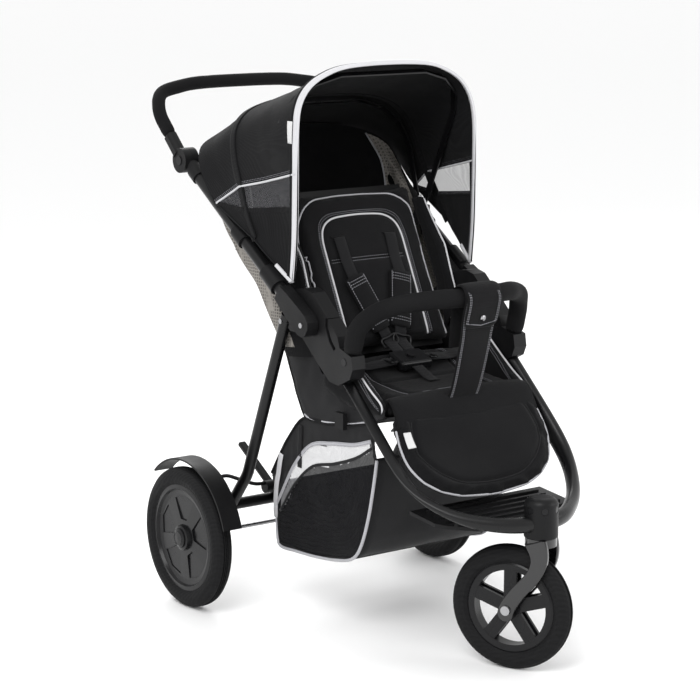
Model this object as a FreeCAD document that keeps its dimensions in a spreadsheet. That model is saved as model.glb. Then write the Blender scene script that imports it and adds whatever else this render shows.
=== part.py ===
import FreeCAD, Part
import math
import os

# Three-wheel jogging stroller. Millimetres, +Z up, the stroller drives towards -Y,
# X = 0 is its plane of symmetry, the child's right side is at -X.
# Shapes are laid out from the rear axle line (y = 0, floor z = 0); every sub-part then
# gets the same Placement, which puts the origin under the middle of the bounding box.

doc = FreeCAD.newDocument("jogging_stroller")
V = FreeCAD.Vector
sheet = doc.addObject("Spreadsheet::Sheet", "Dims")
DIM = {}
CELLS = [
    ("origin_shift_y", 236.4), ("half_arm", 186.0), ("half_push", 214.0), ("half_leg", 195.0),
    ("tube_wide", 25.0), ("tube_high", 38.0), ("push_radius", 12.0), ("leg_radius", 11.0),
    ("axle_radius", 4.0), ("axle_half_len", 317.0), ("cross_radius", 11.0), ("cross_half_len", 258.0),
    ("rear_tyre_radius", 136.0), ("rear_tyre_width", 40.0), ("rear_rim_radius", 103.0), ("rear_track_half", 295.0),
    ("front_tyre_radius", 113.0), ("front_tyre_width", 34.0), ("front_rim_radius", 82.0), ("trail", 52.0),
    ("swivel_angle", 26.9), ("swivel_y", -692.6), ("stem_radius", 7.5), ("stem_len", 55.0),
    ("fold_y", -285.0), ("fold_z", 583.0), ("leg_pivot_y", -190.0), ("leg_pivot_z", 575.0),
    ("bolt_radius", 5.0), ("bracket_thick", 29.0), ("shoe_thick", 24.0), ("push_len", 415.0),
    ("handle_y", 118.0), ("handle_z", 846.0), ("handle_disc_radius", 24.0), ("button_radius", 9.0),
    ("grip_radius", 13.0), ("handle_tube_radius", 9.0), ("fender_radius", 154.0), ("fender_gauge", 3.5),
    ("fender_width", 40.0), ("bar_radius", 8.0), ("foam_radius", 15.0), ("housing_radius", 30.0),
    ("housing_height", 71.0), ("plug_radius", 6.0), ("buckle_button_radius", 9.0), ("spoke_width", 24.0),
    ("board_gauge", 3.0), ("seat_half", 150.0), ("seat_gauge", 28.0), ("slider_radius", 17.0), ("slider_len", 46.0),
    ("canopy_gauge", 3.0), ("bow_gauge", 3.0), ("cap_radius", 21.0), ("hub_len", 34.0), ("clip_len", 26.0),
]
for i, (alias, value) in enumerate(CELLS):
    r = i + 1
    sheet.set("A%d" % r, alias)
    sheet.set("B%d" % r, str(value))
    sheet.setAlias("B%d" % r, alias)
doc.recompute()
for alias, value in CELLS:
    DIM[alias] = float(sheet.get(alias))
D = DIM
NODES = []
SHIFT = FreeCAD.Placement(V(0, D["origin_shift_y"], 0), FreeCAD.Rotation())


def bind(obj, **kw):
    for prop, expr in kw.items():
        obj.setExpression(prop, expr)
    return obj


def aim(direction):
    return FreeCAD.Rotation(V(0, 0, 1), V(*direction))


def cyl(name, radius, height, base, direction=(0, 0, 1), angle=None):
    """Cylinder whose radius and height are expressions of sheet aliases or plain numbers."""
    c = doc.addObject("Part::Cylinder", name)
    for prop, val in (("Radius", radius), ("Height", height)):
        if isinstance(val, str):
            c.setExpression(prop, val)
        else:
            setattr(c, prop, val)
    if angle:
        c.Angle = angle
    c.Placement = FreeCAD.Placement(V(*base), aim(direction))
    return c


def box(name, size, corner, rot=None):
    b = doc.addObject("Part::Box", name)
    for prop, val in zip(("Length", "Width", "Height"), size):
        if isinstance(val, str):
            b.setExpression(prop, val)
        else:
            setattr(b, prop, val)
    b.Placement = FreeCAD.Placement(V(*corner), rot or FreeCAD.Rotation())
    return b


def cut(name, base, tool):
    c = doc.addObject("Part::Cut", name)
    c.Base = base
    c.Tool = tool
    return c


def fuse(name, objs):
    f = doc.addObject("Part::MultiFuse", name)
    f.Shapes = objs
    return f


def group(name, objs):
    g = doc.addObject("Part::Compound", name)
    g.Links = objs
    return g


def feature(name, shape):
    f = doc.addObject("Part::Feature", name)
    f.Shape = shape
    return f


def moved(name, obj, placement):
    """Copy of a finished shape at another place."""
    s = obj.Shape.copy()
    s.Placement = placement.multiply(s.Placement)
    return feature(name, s)


def mirrored(name, obj):
    m = doc.addObject("Part::Mirroring", name)
    m.Source = obj
    m.Base = V(0, 0, 0)
    m.Normal = V(1, 0, 0)
    return m


def node(label, obj, placement=None):
    doc.recompute()
    obj.Label = label
    if placement is None:
        placement = SHIFT
    obj.Placement = placement.multiply(obj.Placement)
    NODES.append((label, obj))
    return obj


def pd_pad(name, pts, x0, length_expr, plane="YZ_Plane"):
    """PartDesign body: a closed polygon drawn on an origin plane and padded."""
    body = doc.addObject("PartDesign::Body", name)
    sk = body.newObject("Sketcher::SketchObject", name + "_sketch")
    pl = [f for f in body.Origin.OriginFeatures if f.Role == plane][0]
    sk.AttachmentSupport = [(pl, "")]
    sk.MapMode = "FlatFace"
    sk.AttachmentOffset = FreeCAD.Placement(V(0, 0, x0), FreeCAD.Rotation())
    n = len(pts)
    for k in range(n):
        a, b = pts[k], pts[(k + 1) % n]
        sk.addGeometry(Part.LineSegment(V(a[0], a[1], 0), V(b[0], b[1], 0)), False)
    pad = body.newObject("PartDesign::Pad", name + "_pad")
    pad.Profile = sk
    if isinstance(length_expr, str):
        pad.setExpression("Length", length_expr)
    else:
        pad.Length = length_expr
    doc.recompute()
    return body


def pd_revolve(name, pts):
    """PartDesign body: closed profile on the XZ plane turned about the X axis."""
    body = doc.addObject("PartDesign::Body", name)
    sk = body.newObject("Sketcher::SketchObject", name + "_sketch")
    pl = [f for f in body.Origin.OriginFeatures if f.Role == "XZ_Plane"][0]
    sk.AttachmentSupport = [(pl, "")]
    sk.MapMode = "FlatFace"
    n = len(pts)
    for k in range(n):
        a, b = pts[k], pts[(k + 1) % n]
        sk.addGeometry(Part.LineSegment(V(a[0], a[1], 0), V(b[0], b[1], 0)), False)
    rev = body.newObject("PartDesign::Revolution", name + "_turn")
    rev.Profile = sk
    rev.ReferenceAxis = (sk, ["H_Axis"])
    rev.Angle = 360
    doc.recompute()
    return body


def bent_path(pts, radii):
    """Wire of straight runs joined by tangent arcs."""
    P = [V(*p) for p in pts]
    edges = []
    start = P[0]
    for i in range(1, len(P) - 1):
        r = radii[i - 1] if isinstance(radii, (list, tuple)) else radii
        a = (P[i - 1] - P[i]).normalize()
        b = (P[i + 1] - P[i]).normalize()
        turn = math.pi - a.getAngle(b)
        if turn < 1e-4:
            continue
        d = r * math.tan(turn / 2)
        p1, p2 = P[i] + a * d, P[i] + b * d
        bis = (a + b).normalize()
        c = P[i] + bis * (r / math.cos(turn / 2))
        mid = c - bis * r
        if (p1 - start).Length > 1e-3:
            edges.append(Part.LineSegment(start, p1).toShape())
        edges.append(Part.Arc(p1, mid, p2).toShape())
        start = p2
    edges.append(Part.LineSegment(start, P[-1]).toShape())
    return Part.Wire(edges)


def sweep(wire, section_wire):
    mk = Part.BRepOffsetAPI.MakePipeShell(wire)
    mk.setFrenetMode(False)
    mk.setTransitionMode(1)
    mk.add(section_wire, False, False)
    mk.build()
    mk.makeSolid()
    return mk.shape()


def round_tube(pts, radii, r):
    w = bent_path(pts, radii)
    e = w.Edges[0]
    t = e.tangentAt(e.FirstParameter)
    p = e.valueAt(e.FirstParameter)
    sec = Part.Wire([Part.Circle(p, t, r).toShape()])
    s = sweep(w, sec)
    if s.Volume < 0:
        s = s.reversed()
    return s


def prism(pts_yz, x0, x1):
    w = Part.makePolygon([V(x0, y, z) for y, z in pts_yz] + [V(x0, *pts_yz[0])])
    return Part.Face(w).extrude(V(x1 - x0, 0, 0))


def soft(shape, r, edges=None):
    """Rounded copy of a soft block."""
    try:
        s = shape.makeFillet(r, edges or shape.Edges)
        if s.isValid() and s.Volume > 0:
            return s
    except Exception:
        pass
    return shape


# ---------------------------------------------------------------- front frame
arm = D["half_arm"]
ctr = [(arm, -350, 511), (arm, -400, 467.5), (arm, -455, 419), (arm - 0.5, -505, 374), (181, -545, 338),
       (168, -577, 313), (150, -604, 297), (128, -629, 285), (98, -655, 277), (60, -681, 273), (20, -694, 272)]
pts = [V(*p) for p in ctr] + [V(-p[0], p[1], p[2]) for p in reversed(ctr)]
curve = Part.BSplineCurve()
curve.interpolate(pts)
path = Part.Wire([curve.toShape()])
t0 = curve.tangent(curve.FirstParameter)[0]
xd = V(1, 0, 0)
el = Part.Ellipse(V(0, 0, 0), D["tube_high"] / 2, D["tube_wide"] / 2).toShape()
up = t0.cross(xd).normalize()
rot = FreeCAD.Rotation(up, xd, t0, "XYZ")
el.Placement = FreeCAD.Placement(pts[0], rot)
mk = Part.BRepOffsetAPI.MakePipeShell(path)
mk.setBiNormalMode(V(0, 0, 1))
mk.add(Part.Wire([el]), False, False)
mk.build()
mk.makeSolid()
u_shape = mk.shape()
if u_shape.Volume < 0:
    u_shape = u_shape.reversed()
u_raw = feature("front_tube_bend", u_shape)
sw_y = D["swivel_y"]
hole = cyl("front_tube_hole", 10.0, 80, (0, sw_y, 232))
front_tube = cut("front_tube_cut", u_raw, hole)
node("front_tube", front_tube)

# front housing: rounded block round the tube's nose, with the bore that the fork turns in
hs = cyl("housing_outer", "Dims.housing_radius", "Dims.housing_height", (0, sw_y, 247.0))
doc.recompute()
hf = doc.addObject("Part::Fillet", "housing_round")
hf.Base = hs
top_edges = [i + 1 for i, e in enumerate(hs.Shape.Edges)
             if abs(e.BoundBox.ZMin - 318.0) < 0.1 and abs(e.BoundBox.ZMax - 318.0) < 0.1 and e.Length > 100]
bot_edges = [i + 1 for i, e in enumerate(hs.Shape.Edges)
             if abs(e.BoundBox.ZMin - 247.0) < 0.1 and abs(e.BoundBox.ZMax - 247.0) < 0.1 and e.Length > 100]
hf.Edges = [(i, 14.0, 14.0) for i in top_edges] + [(i, 2.0, 2.0) for i in bot_edges]
doc.recompute()
hb = cyl("housing_bore", "Dims.stem_radius + 0.05", "Dims.stem_len", (0, sw_y, 246.0))
recess = []
plugs = []
for k, ang in enumerate((-170.0, -118.0, -10.0, -62.0)):
    a = math.radians(ang)
    d = (math.cos(a), math.sin(a), 0)
    b0 = (d[0] * (D["housing_radius"] - 3), sw_y + d[1] * (D["housing_radius"] - 3), 298.2)
    recess.append(cyl("plug_recess_%d" % k, "Dims.plug_radius + 0.5", 8, b0, d))
    plugs.append(cyl("plug_%d" % k, "Dims.plug_radius", 2.2, b0, d))
ht = fuse("housing_tools", [hb] + recess + [front_tube.Base])
doc.recompute()
# the tube without its cross hole is removed, then the column inside the hole is put back
column_o = cyl("column_outer", 10.0, 62, (0, sw_y, 250.0))
column = cut("column", column_o, cyl("column_bore", "Dims.stem_radius + 0.05", "Dims.stem_len", (0, sw_y, 246.0)))
housing_main = cut("housing_main", hf, ht)
doc.recompute()
solids = sorted(housing_main.Shape.Solids, key=lambda s: -s.Volume)
housing = fuse("housing_whole", [housing_main, column])
node("front_housing", housing)
node("housing_plugs", group("housing_plug_pair", plugs))

# hinge brackets: moulded plates where front tube, rear leg and push tube meet
BR = [(-178, 596), (-186, 617), (-205, 630), (-236, 641), (-262, 645), (-284, 640), (-352, 583), (-363, 571), (-370, 552), (-405, 541),
      (-409, 518), (-401, 500), (-366, 483), (-338, 486), (-300, 514), (-268, 540), (-244, 560), (-212, 560), (-188, 566), (-178, 578)]


def bracket(name, side):
    x0 = 171.5 if side > 0 else -171.5 - D["bracket_thick"]
    b = pd_pad(name, BR, x0, "Dims.bracket_thick")
    return b


# hook-shaped slot that the locking pawl sits behind
HOOK = [(-281, 622), (-274, 622), (-274, 606), (-286, 580), (-300, 566), (-306, 571), (-294, 583), (-281, 607)]
for side, tag in ((-1, "right"), (1, "left")):
    b = bracket("hinge_bracket_" + tag + "_body", side)
    xs = sorted((side * 160, side * 212))
    hk = feature("hook_" + tag, prism([(y - 52, z - 22) for y, z in HOOK], xs[0], xs[1]))
    pb1 = cyl("fold_bolt_hole_" + tag, "Dims.bolt_radius", 60, (xs[0], D["fold_y"], D["fold_z"]), (1, 0, 0))
    pb2 = cyl("leg_bolt_hole_" + tag, "Dims.bolt_radius", 60, (xs[0], D["leg_pivot_y"], D["leg_pivot_z"]), (1, 0, 0))
    br0 = cyl("bumper_button_recess_" + tag, 7.4, 10, (side * 194.2, -383, 528), (side, 0, 0))
    # socket for the leg: the leg top swings in this pocket
    pk = feature("leg_pocket_" + tag, Part.makeCylinder(19.5, 26.0, V(sorted((side * 182.7, side * 208.7))[0], D["leg_pivot_y"], D["leg_pivot_z"]), V(1, 0, 0)))
    slot = feature("leg_slot_" + tag, prism([(D["leg_pivot_y"] + 19.5, D["leg_pivot_z"] + 2), (D["leg_pivot_y"] + 60, D["leg_pivot_z"] - 60),
                                             (D["leg_pivot_y"] - 80, D["leg_pivot_z"] - 60), (D["leg_pivot_y"] - 19.5, D["leg_pivot_z"] - 12)],
                                            *sorted((side * 182.7, side * 208.7))))
    sc = feature("bumper_hole_" + tag, Part.makeCylinder(8.4, 60, V(side * 186, -378.5, 506.5), V(0, -0.259, 0.966)))
    tools = fuse("bracket_tools_" + tag, [hk, pb1, pb2, br0, pk, slot, sc, u_raw])
    node("hinge_bracket_" + tag, cut("bracket_cut_" + tag, b, tools))

bolts = []
for side in (-1, 1):
    x0 = 171.0 if side > 0 else -227.5
    bolts.append(cyl("fold_bolt_%s" % ("l" if side > 0 else "r"), "Dims.bolt_radius - 0.05", 56.5, (x0, D["fold_y"], D["fold_z"]), (1, 0, 0)))
    x1 = 171.6 if side > 0 else -207.5
    bolts.append(cyl("leg_bolt_%s" % ("l" if side > 0 else "r"), "Dims.bolt_radius - 0.05", 35.9, (x1, D["leg_pivot_y"], D["leg_pivot_z"]), (1, 0, 0)))
node("pivot_bolts", group("pivot_bolt_set", bolts))

# ribbed foot plate between the arms of the front tube
plate = prism([(-512, 276), (-668, 262), (-668, 256), (-512, 269)], -150, 150)
ribs = [prism([(y0, 276.5 - (-(y0) - 512) * 0.09), (y0 - 5, 276.5 - (-(y0) - 507) * 0.09), (y0 - 5, 262 - (-(y0) - 507) * 0.03), (y0, 262 - (-(y0) - 512) * 0.03)], -128, 128)
        for y0 in (-530, -550, -570, -590, -610)]
fp = feature("foot_plate_block", plate.fuse([r.translated(V(0, 0, 4)) for r in ribs]).removeSplitter())
outline = Part.Face(Part.makePolygon([V(-176, -512, 200), V(176, -512, 200), V(166, -560, 200), V(138, -604, 200), (V(92, -640, 200)), V(40, -664, 200),
                                      V(-40, -664, 200), V(-92, -640, 200), V(-138, -604, 200), V(-166, -560, 200), V(-176, -512, 200)])).extrude(V(0, 0, 140))
fo = feature("foot_plate_outline", outline)
com = doc.addObject("Part::MultiCommon", "foot_plate_trim")
com.Shapes = [fp, fo]
node("foot_plate", cut("foot_plate_cut", com, fuse("foot_plate_tools", [u_raw, cyl("foot_plate_relief", "Dims.housing_radius + 1.5", 120, (0, sw_y, 230))])))

# seat: padded base, side panels, harness parts
SEAT = [(-246, 476), (-262, 466), (-330, 440), (-400, 432), (-452, 438), (-460, 448), (-452, 458), (-400, 460), (-330, 468), (-270, 500), (-252, 502)]
seat = feature("seat_block", prism(SEAT, -D["seat_half"], D["seat_half"]))
node("seat_cushion", seat)
SIDE = [(-290, 560), (-300, 568), (-345, 533), (-452, 454), (-448, 436), (-400, 426), (-330, 434), (-262, 460), (-268, 500)]
side_panels = []
for side in (-1, 1):
    xs = sorted((side * 152, side * 168))
    side_panels.append(feature("side_panel_%s" % ("l" if side > 0 else "r"), prism(SIDE, xs[0], xs[1])))
node("seat_side_panels", group("seat_side_pair", side_panels))
laps = []
for side in (-1, 1):
    w = Part.makePolygon([V(side * 128, -292, 488), V(side * 38, -322, 478.5), V(side * 38, -346, 474.5), V(side * 128, -316, 481), V(side * 128, -292, 488)])
    lo = Part.makeLoft([Part.makePolygon([V(side * 128, -290, 505), V(side * 128, -318, 496), V(side * 128, -318, 499.5), V(side * 128, -290, 508.5), V(side * 128, -290, 505)]),
                        Part.makePolygon([V(side * 37, -300, 497), V(side * 37, -326, 488), V(side * 37, -326, 491.5), V(side * 37, -300, 500.5), V(side * 37, -300, 497)])], True, True)
    laps.append(feature("lap_%s" % ("l" if side > 0 else "r"), lo))
node("lap_straps", group("lap_strap_pair", laps))
bk = soft(Part.makeBox(72, 48, 18, V(-36, -24, -9)), 5)
bk_rot = FreeCAD.Rotation(V(1, 0, 0), 20)
bk_at = FreeCAD.Placement(V(0, -313, 499), bk_rot)
bk.Placement = bk_at
bk_f = feature("buckle_block", bk)
bh = feature("buckle_bore", Part.makeCylinder(D["buckle_button_radius"] + 0.4, 20, V(0, 0, 3)))
bh.Placement = bk_at
node("buckle_housing", cut("buckle_cut", bk_f, bh))
bb = cyl("buckle_button_disc", "Dims.buckle_button_radius", 7.0, (0, 0, 0))
bb.Placement = bk_at.multiply(FreeCAD.Placement(V(0, 0, 6.2), FreeCAD.Rotation()))
node("buckle_button", bb)
clips = []
for side in (-1, 1):
    cb = box("clip_%s" % ("l" if side > 0 else "r"), (9, "Dims.clip_len", 30), (side * 176 - 4.5, -352, 396))
    clips.append(cb)
node("seat_clips", group("seat_clip_pair", clips))

# basket below the seat: thin-walled cloth tub with an open top, stiffened by a base board
outer = prism([(-96, 118), (-230, 121), (-352, 145), (-402, 268), (-426, 384), (-190, 384), (-92, 262)], -165, 165)
inner = prism([(-99, 121.2), (-230, 124.2), (-350, 148), (-399, 268), (-423, 390), (-191, 390), (-95, 262)], -162, 162)
basket = outer.cut(inner)
node("basket", feature("basket_shell", basket))
board = prism([(-104, 123.5), (-230, 126), (-345, 148), (-345, 151), (-230, 129), (-104, 126.5)], -155, 155)
node("basket_board", feature("basket_board_plate", board))

# ---------------------------------------------------------------- rear frame
leg_x = D["half_leg"]
ly, lz = D["leg_pivot_y"], D["leg_pivot_z"]
cross = cyl("cross_tube", "Dims.cross_radius", "2 * Dims.cross_half_len", (-D["cross_half_len"], -6, 186), (1, 0, 0))
for side, tag in ((-1, "right"), (1, "left")):
    s = round_tube([(side * leg_x, ly - 5.3, lz + 12.8), (side * leg_x, -57, 256), (side * (leg_x + 6), -6, 186)], [110], D["leg_radius"])
    lf = feature("rear_leg_bend_" + tag, s)
    hole = cyl("rear_leg_hole_" + tag, "Dims.bolt_radius", 50, (side * leg_x - 25, ly, lz), (1, 0, 0))
    tl = fuse("rear_leg_tools_" + tag, [hole, cross])
    node("rear_leg_" + tag, cut("rear_leg_cut_" + tag, lf, tl))
cross2 = cyl("cross_tube_piece", "Dims.cross_radius", "2 * Dims.cross_half_len", (-D["cross_half_len"], -6, 186), (1, 0, 0))
node("rear_cross_tube", cross2)
axle = cyl("axle_rod", "Dims.axle_radius", "2 * Dims.axle_half_len", (-D["axle_half_len"], 0, D["rear_tyre_radius"]), (1, 0, 0))
node("rear_axle_rod", axle)
wb = []
for side in (-1, 1):
    xs = sorted((side * 250, side * 267))
    body = prism([(14, 120), (18, 150), (10, 192), (-2, 203), (-18, 200), (-24, 184), (-20, 150), (-14, 122)], xs[0], xs[1])
    bf = feature("wheel_bracket_block_%d" % (side + 1), body)
    h1 = cyl("wheel_bracket_hole_%d" % (side + 1), "Dims.axle_radius", 40, (xs[0] - 10, 0, D["rear_tyre_radius"]), (1, 0, 0))
    h2 = cyl("wheel_bracket_seat_%d" % (side + 1), "Dims.cross_radius", "2 * Dims.cross_half_len", (-D["cross_half_len"], -6, 186), (1, 0, 0))
    wb.append(cut("wheel_bracket_%d" % (side + 1), bf, fuse("wheel_bracket_tools_%d" % (side + 1), [h1, h2])))
node("wheel_brackets", group("wheel_bracket_pair", wb))


def sector(name, r, width, x0, a0, a1):
    """Cylinder sector about the rear axle, from angle a0 to a1 (degrees from +Y towards +Z)."""
    c = doc.addObject("Part::Cylinder", name)
    for prop, val in (("Radius", r), ("Height", width)):
        if isinstance(val, str):
            c.setExpression(prop, val)
        else:
            setattr(c, prop, val)
    c.Angle = a1 - a0
    # local X -> +Y, local Y -> +Z, local Z -> +X, then turned by a0
    base = FreeCAD.Rotation(V(0, 1, 0), V(0, 0, 1), V(1, 0, 0), "XYZ")
    c.Placement = FreeCAD.Placement(V(x0, 0, D["rear_tyre_radius"]), FreeCAD.Rotation(V(1, 0, 0), a0).multiply(base))
    return c


fd = []
for side in (-1, 1):
    k = side + 1
    x0 = 267 if side > 0 else -267 - D["fender_width"]
    o = sector("fender_outer_%d" % k, "Dims.fender_radius", "Dims.fender_width", x0, 47, 163)
    i = sector("fender_inner_%d" % k, "Dims.fender_radius - Dims.fender_gauge", 60, x0 - 10, 40, 180)
    shell = cut("fender_shell_%d" % k, o, i)
    xs = 267 if side > 0 else -271
    s1 = sector("fender_skirt_outer_%d" % k, "Dims.fender_radius - 0.5", 4, xs, 80, 163)
    s2 = sector("fender_skirt_inner_%d" % k, 26, 20, xs - 8, 0, 359.9)
    skirt = cut("fender_skirt_%d" % k, s1, s2)
    fd.append(fuse("fender_%d" % k, [shell, skirt]))
node("fenders", group("fender_pair", fd))

# ---------------------------------------------------------------- rear wheels
R, W = D["rear_tyre_radius"], D["rear_tyre_width"]
rr = D["rear_rim_radius"]
hw = W / 2


def tyre_profile(R, hw, rin, groove):
    p = [(-hw + 6, rin), (-hw + 1.5, rin + 6), (-hw, rin + 14), (-hw + 0.6, R - 14), (-hw + 3.5, R - 6.5), (-hw + 8, R - 2)]
    top = [(-hw + 12, R - 0.6)]
    g = groove
    step = (2 * hw - 24) / 4.0
    x = -hw + 12
    for j in range(3):
        xc = -hw + 12 + step * (j + 1)
        rad = R if j == 1 else R - 0.2
        top += [(xc - 1.4, rad), (xc - 0.9, rad - g), (xc + 0.9, rad - g), (xc + 1.4, rad)]
    top += [(hw - 12, R - 0.6)]
    q = [(-a, b) for a, b in reversed(p)]
    return p + top + q


def rim_profile(rin, hw, rbore, hub):
    """Dished disc rim with a step ring; +X is the outer face."""
    return [(-hub, rbore), (-hub, 16), (-5, 20), (-5, rin - 22), (-hw + 7, rin - 9), (-hw + 4, rin + 1.5), (-hw + 6, rin + 0),
            (hw - 6, rin + 0), (hw - 4, rin + 1.5), (hw - 3.5, rin - 4), (hw - 5, rin - 8), (hw - 10, rin - 11), (hw - 11.5, rin - 20),
            (hw - 9.5, 26), (hw - 2, 24), (hw - 0.5, 20), (hw - 0.5, rbore)]


def rim_shape(name, rin, hw):
    body = pd_revolve(name + "_body", [(-14, D["axle_radius"] + 0.05), (-14, 16), (-5, 20), (-5, rin - 22), (-hw + 7, rin - 9), (-hw + 6, rin - 0.0),
                                      (hw - 6, rin - 0.0), (hw - 5, rin - 8), (hw - 10, rin - 11), (hw - 11.5, rin - 20),
                                      (hw - 9.5, 26), (hw - 3, 24), (hw - 1.5, 20), (hw - 1.5, D["axle_radius"] + 0.05)])
    return body


rim_base = rim_shape("rear_rim", rr, hw)
# five recessed panels between five broad spokes
panels = []
for k in range(5):
    a0 = math.radians(90 + 72 * k)
    half_in, half_out = math.radians(21), math.radians(24)
    r1, r2 = 36, rr - 24
    P1 = [(r1 * math.cos(a0 - half_in * 0.8), r1 * math.sin(a0 - half_in * 0.8)), (r2 * math.cos(a0 - half_out), r2 * math.sin(a0 - half_out)),
          (r2 * 1.06 * math.cos(a0), r2 * 1.06 * math.sin(a0)),
          (r2 * math.cos(a0 + half_out), r2 * math.sin(a0 + half_out)), (r1 * math.cos(a0 + half_in * 0.8), r1 * math.sin(a0 + half_in * 0.8))]
    panels.append(prism(P1, hw - 13.2, hw + 5))
pan = feature("rim_panels", panels[0].multiFuse(panels[1:]))
rim_cut = cut("rear_rim_cut", rim_base, pan)
tyre_base = pd_revolve("rear_tyre_body", tyre_profile(R, hw, rr, 2.2))
cap_base = pd_revolve("rear_cap_body", [(hw - 1.4, 0), (hw - 1.4, D["cap_radius"] - 2), (hw + 1.2, D["cap_radius"] - 2.5), (hw + 3.4, D["cap_radius"] - 8), (hw + 4.2, 0)])
doc.recompute()
cap_hole = Part.makeCylinder(D["axle_radius"] + 0.2, D["axle_half_len"] - D["rear_track_half"] - hw + 2.5, V(hw - 2, 0, 0), V(1, 0, 0))
flip = FreeCAD.Rotation(V(0, 0, 1), 180)
for side, tag in ((-1, "right"), (1, "left")):
    pl = FreeCAD.Placement(V(side * D["rear_track_half"], 0, R), flip if side < 0 else FreeCAD.Rotation())
    for lab, src in (("rear_tyre_", tyre_base), ("rear_rim_", rim_cut)):
        node(lab + tag, moved(lab + tag + "_piece", src, pl))
    capf = feature("rear_cap_" + tag + "_piece", cap_base.Shape.cut(cap_hole))
    capf.Placement = pl
    node("rear_hub_cap_" + tag, capf)

# ---------------------------------------------------------------- fork and front wheel
fr, fw = D["front_tyre_radius"], D["front_tyre_width"]
swing = FreeCAD.Placement(V(0, sw_y, 0), FreeCAD.Rotation(V(0, 0, 1), D["swivel_angle"]))
crown = cyl("fork_crown", 25.0, 15.5, (0, 0, 231.0))
stem = cyl("fork_stem_pin", "Dims.stem_radius", 66.0, (0, 0, 233.0))
cl = [(0, 243, 20), (-6, 226, 18), (-8, 208, 15.5), (-2, 188, 14), (12, 168, 13.5), (28, 150, 13.5), (41, 133, 14), (49, 120, 14.5), (54, 106, 15)]
leftp, rightp = [], []
for i, (y, z, w) in enumerate(cl):
    a = cl[max(i - 1, 0)]
    b = cl[min(i + 1, len(cl) - 1)]
    ty, tz = b[0] - a[0], b[1] - a[1]
    ln = math.hypot(ty, tz)
    ny, nz = -tz / ln, ty / ln
    leftp.append(V(0, y + ny * w, z + nz * w))
    rightp.append(V(0, y - ny * w, z - nz * w))
c1 = Part.BSplineCurve()
c1.interpolate(leftp)
c2 = Part.BSplineCurve()
c2.interpolate(list(reversed(rightp)))
endv = rightp[-1] - leftp[-1]
low = (leftp[-1] + rightp[-1]) * 0.5 + V(0, 6, -13)
arc = Part.Arc(leftp[-1], low, rightp[-1]).toShape()
prof = Part.Wire([c1.toShape(), arc, c2.toShape(), Part.LineSegment(rightp[0], leftp[0]).toShape()])
arm_solid = Part.Face(prof).extrude(V(10, 0, 0))
try:
    arm_solid = arm_solid.makeFillet(3.0, [e for e in arm_solid.Edges if abs(e.BoundBox.XMax - e.BoundBox.XMin) < 0.1])
except Exception:
    pass
arms = []
for side in (-1, 1):
    a = arm_solid.copy()
    a.translate(V(19.5 if side > 0 else -29.5, 0, 0))
    arms.append(a)
fork_shape = arms[0].multiFuse([arms[1], Part.makeCylinder(28, 15, V(0, 0, 231.4))])
fork_shape = fork_shape.cut(Part.makeCylinder(5.0, 80, V(-40, D["trail"], fr), V(1, 0, 0)))
fork_shape = fork_shape.common(Part.makeBox(200, 300, 246.4, V(-100, -100, 0)))
doc.removeObject("fork_crown")
fork_body = feature("front_fork_piece", fork_shape)
node("front_fork", fuse("front_fork_whole", [fork_body, stem]), SHIFT.multiply(swing))
faxle = cyl("front_axle_bolt", 5.0, 68.0, (-34, D["trail"], fr), (1, 0, 0))
fnuts = [cyl("front_nut_a", 8.5, 4.0, (-33.6, D["trail"], fr), (1, 0, 0)), cyl("front_nut_b", 8.5, 4.0, (29.6, D["trail"], fr), (1, 0, 0))]
node("front_axle", fuse("front_axle_whole", [faxle] + fnuts), SHIFT.multiply(swing))
hwf = fw / 2
frr = D["front_rim_radius"]
ft = pd_revolve("front_tyre_body", tyre_profile(fr, hwf, frr, 2.0))
ring = pd_revolve("front_ring_body", [(-hwf + 5, frr - 14), (-hwf + 4, frr - 3), (-hwf + 6, frr), (hwf - 6, frr), (hwf - 4, frr - 3), (hwf - 5, frr - 14)])
doc.recompute()
hub = Part.makeCylinder(19, 26, V(-13, 0, 0), V(1, 0, 0))
spokes = []
for k in range(5):
    a = 90 + 72 * k
    for x0 in (-11.5, 5.5):
        sp = Part.makeBox(6, frr - 6, D["spoke_width"], V(x0, 0, -D["spoke_width"] / 2))
        sp.rotate(V(0, 0, 0), V(1, 0, 0), a)
        spokes.append(sp)
    web = Part.makeBox(12, frr - 10, 5, V(-6, 0, -2.5))
    web.rotate(V(0, 0, 0), V(1, 0, 0), a)
    spokes.append(web)
rimf = ring.Shape.multiFuse([hub] + spokes).removeSplitter()
rimf = rimf.cut(Part.makeCylinder(5.05, 60, V(-30, 0, 0), V(1, 0, 0)))
wheel_pl = FreeCAD.Placement(V(0, D["trail"], fr), FreeCAD.Rotation())
rf = feature("front_rim_piece", rimf)
rf.Placement = wheel_pl
node("front_rim", rf, SHIFT.multiply(swing))
tf = moved("front_tyre_piece", ft, wheel_pl)
node("front_tyre", tf, SHIFT.multiply(swing))

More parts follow.
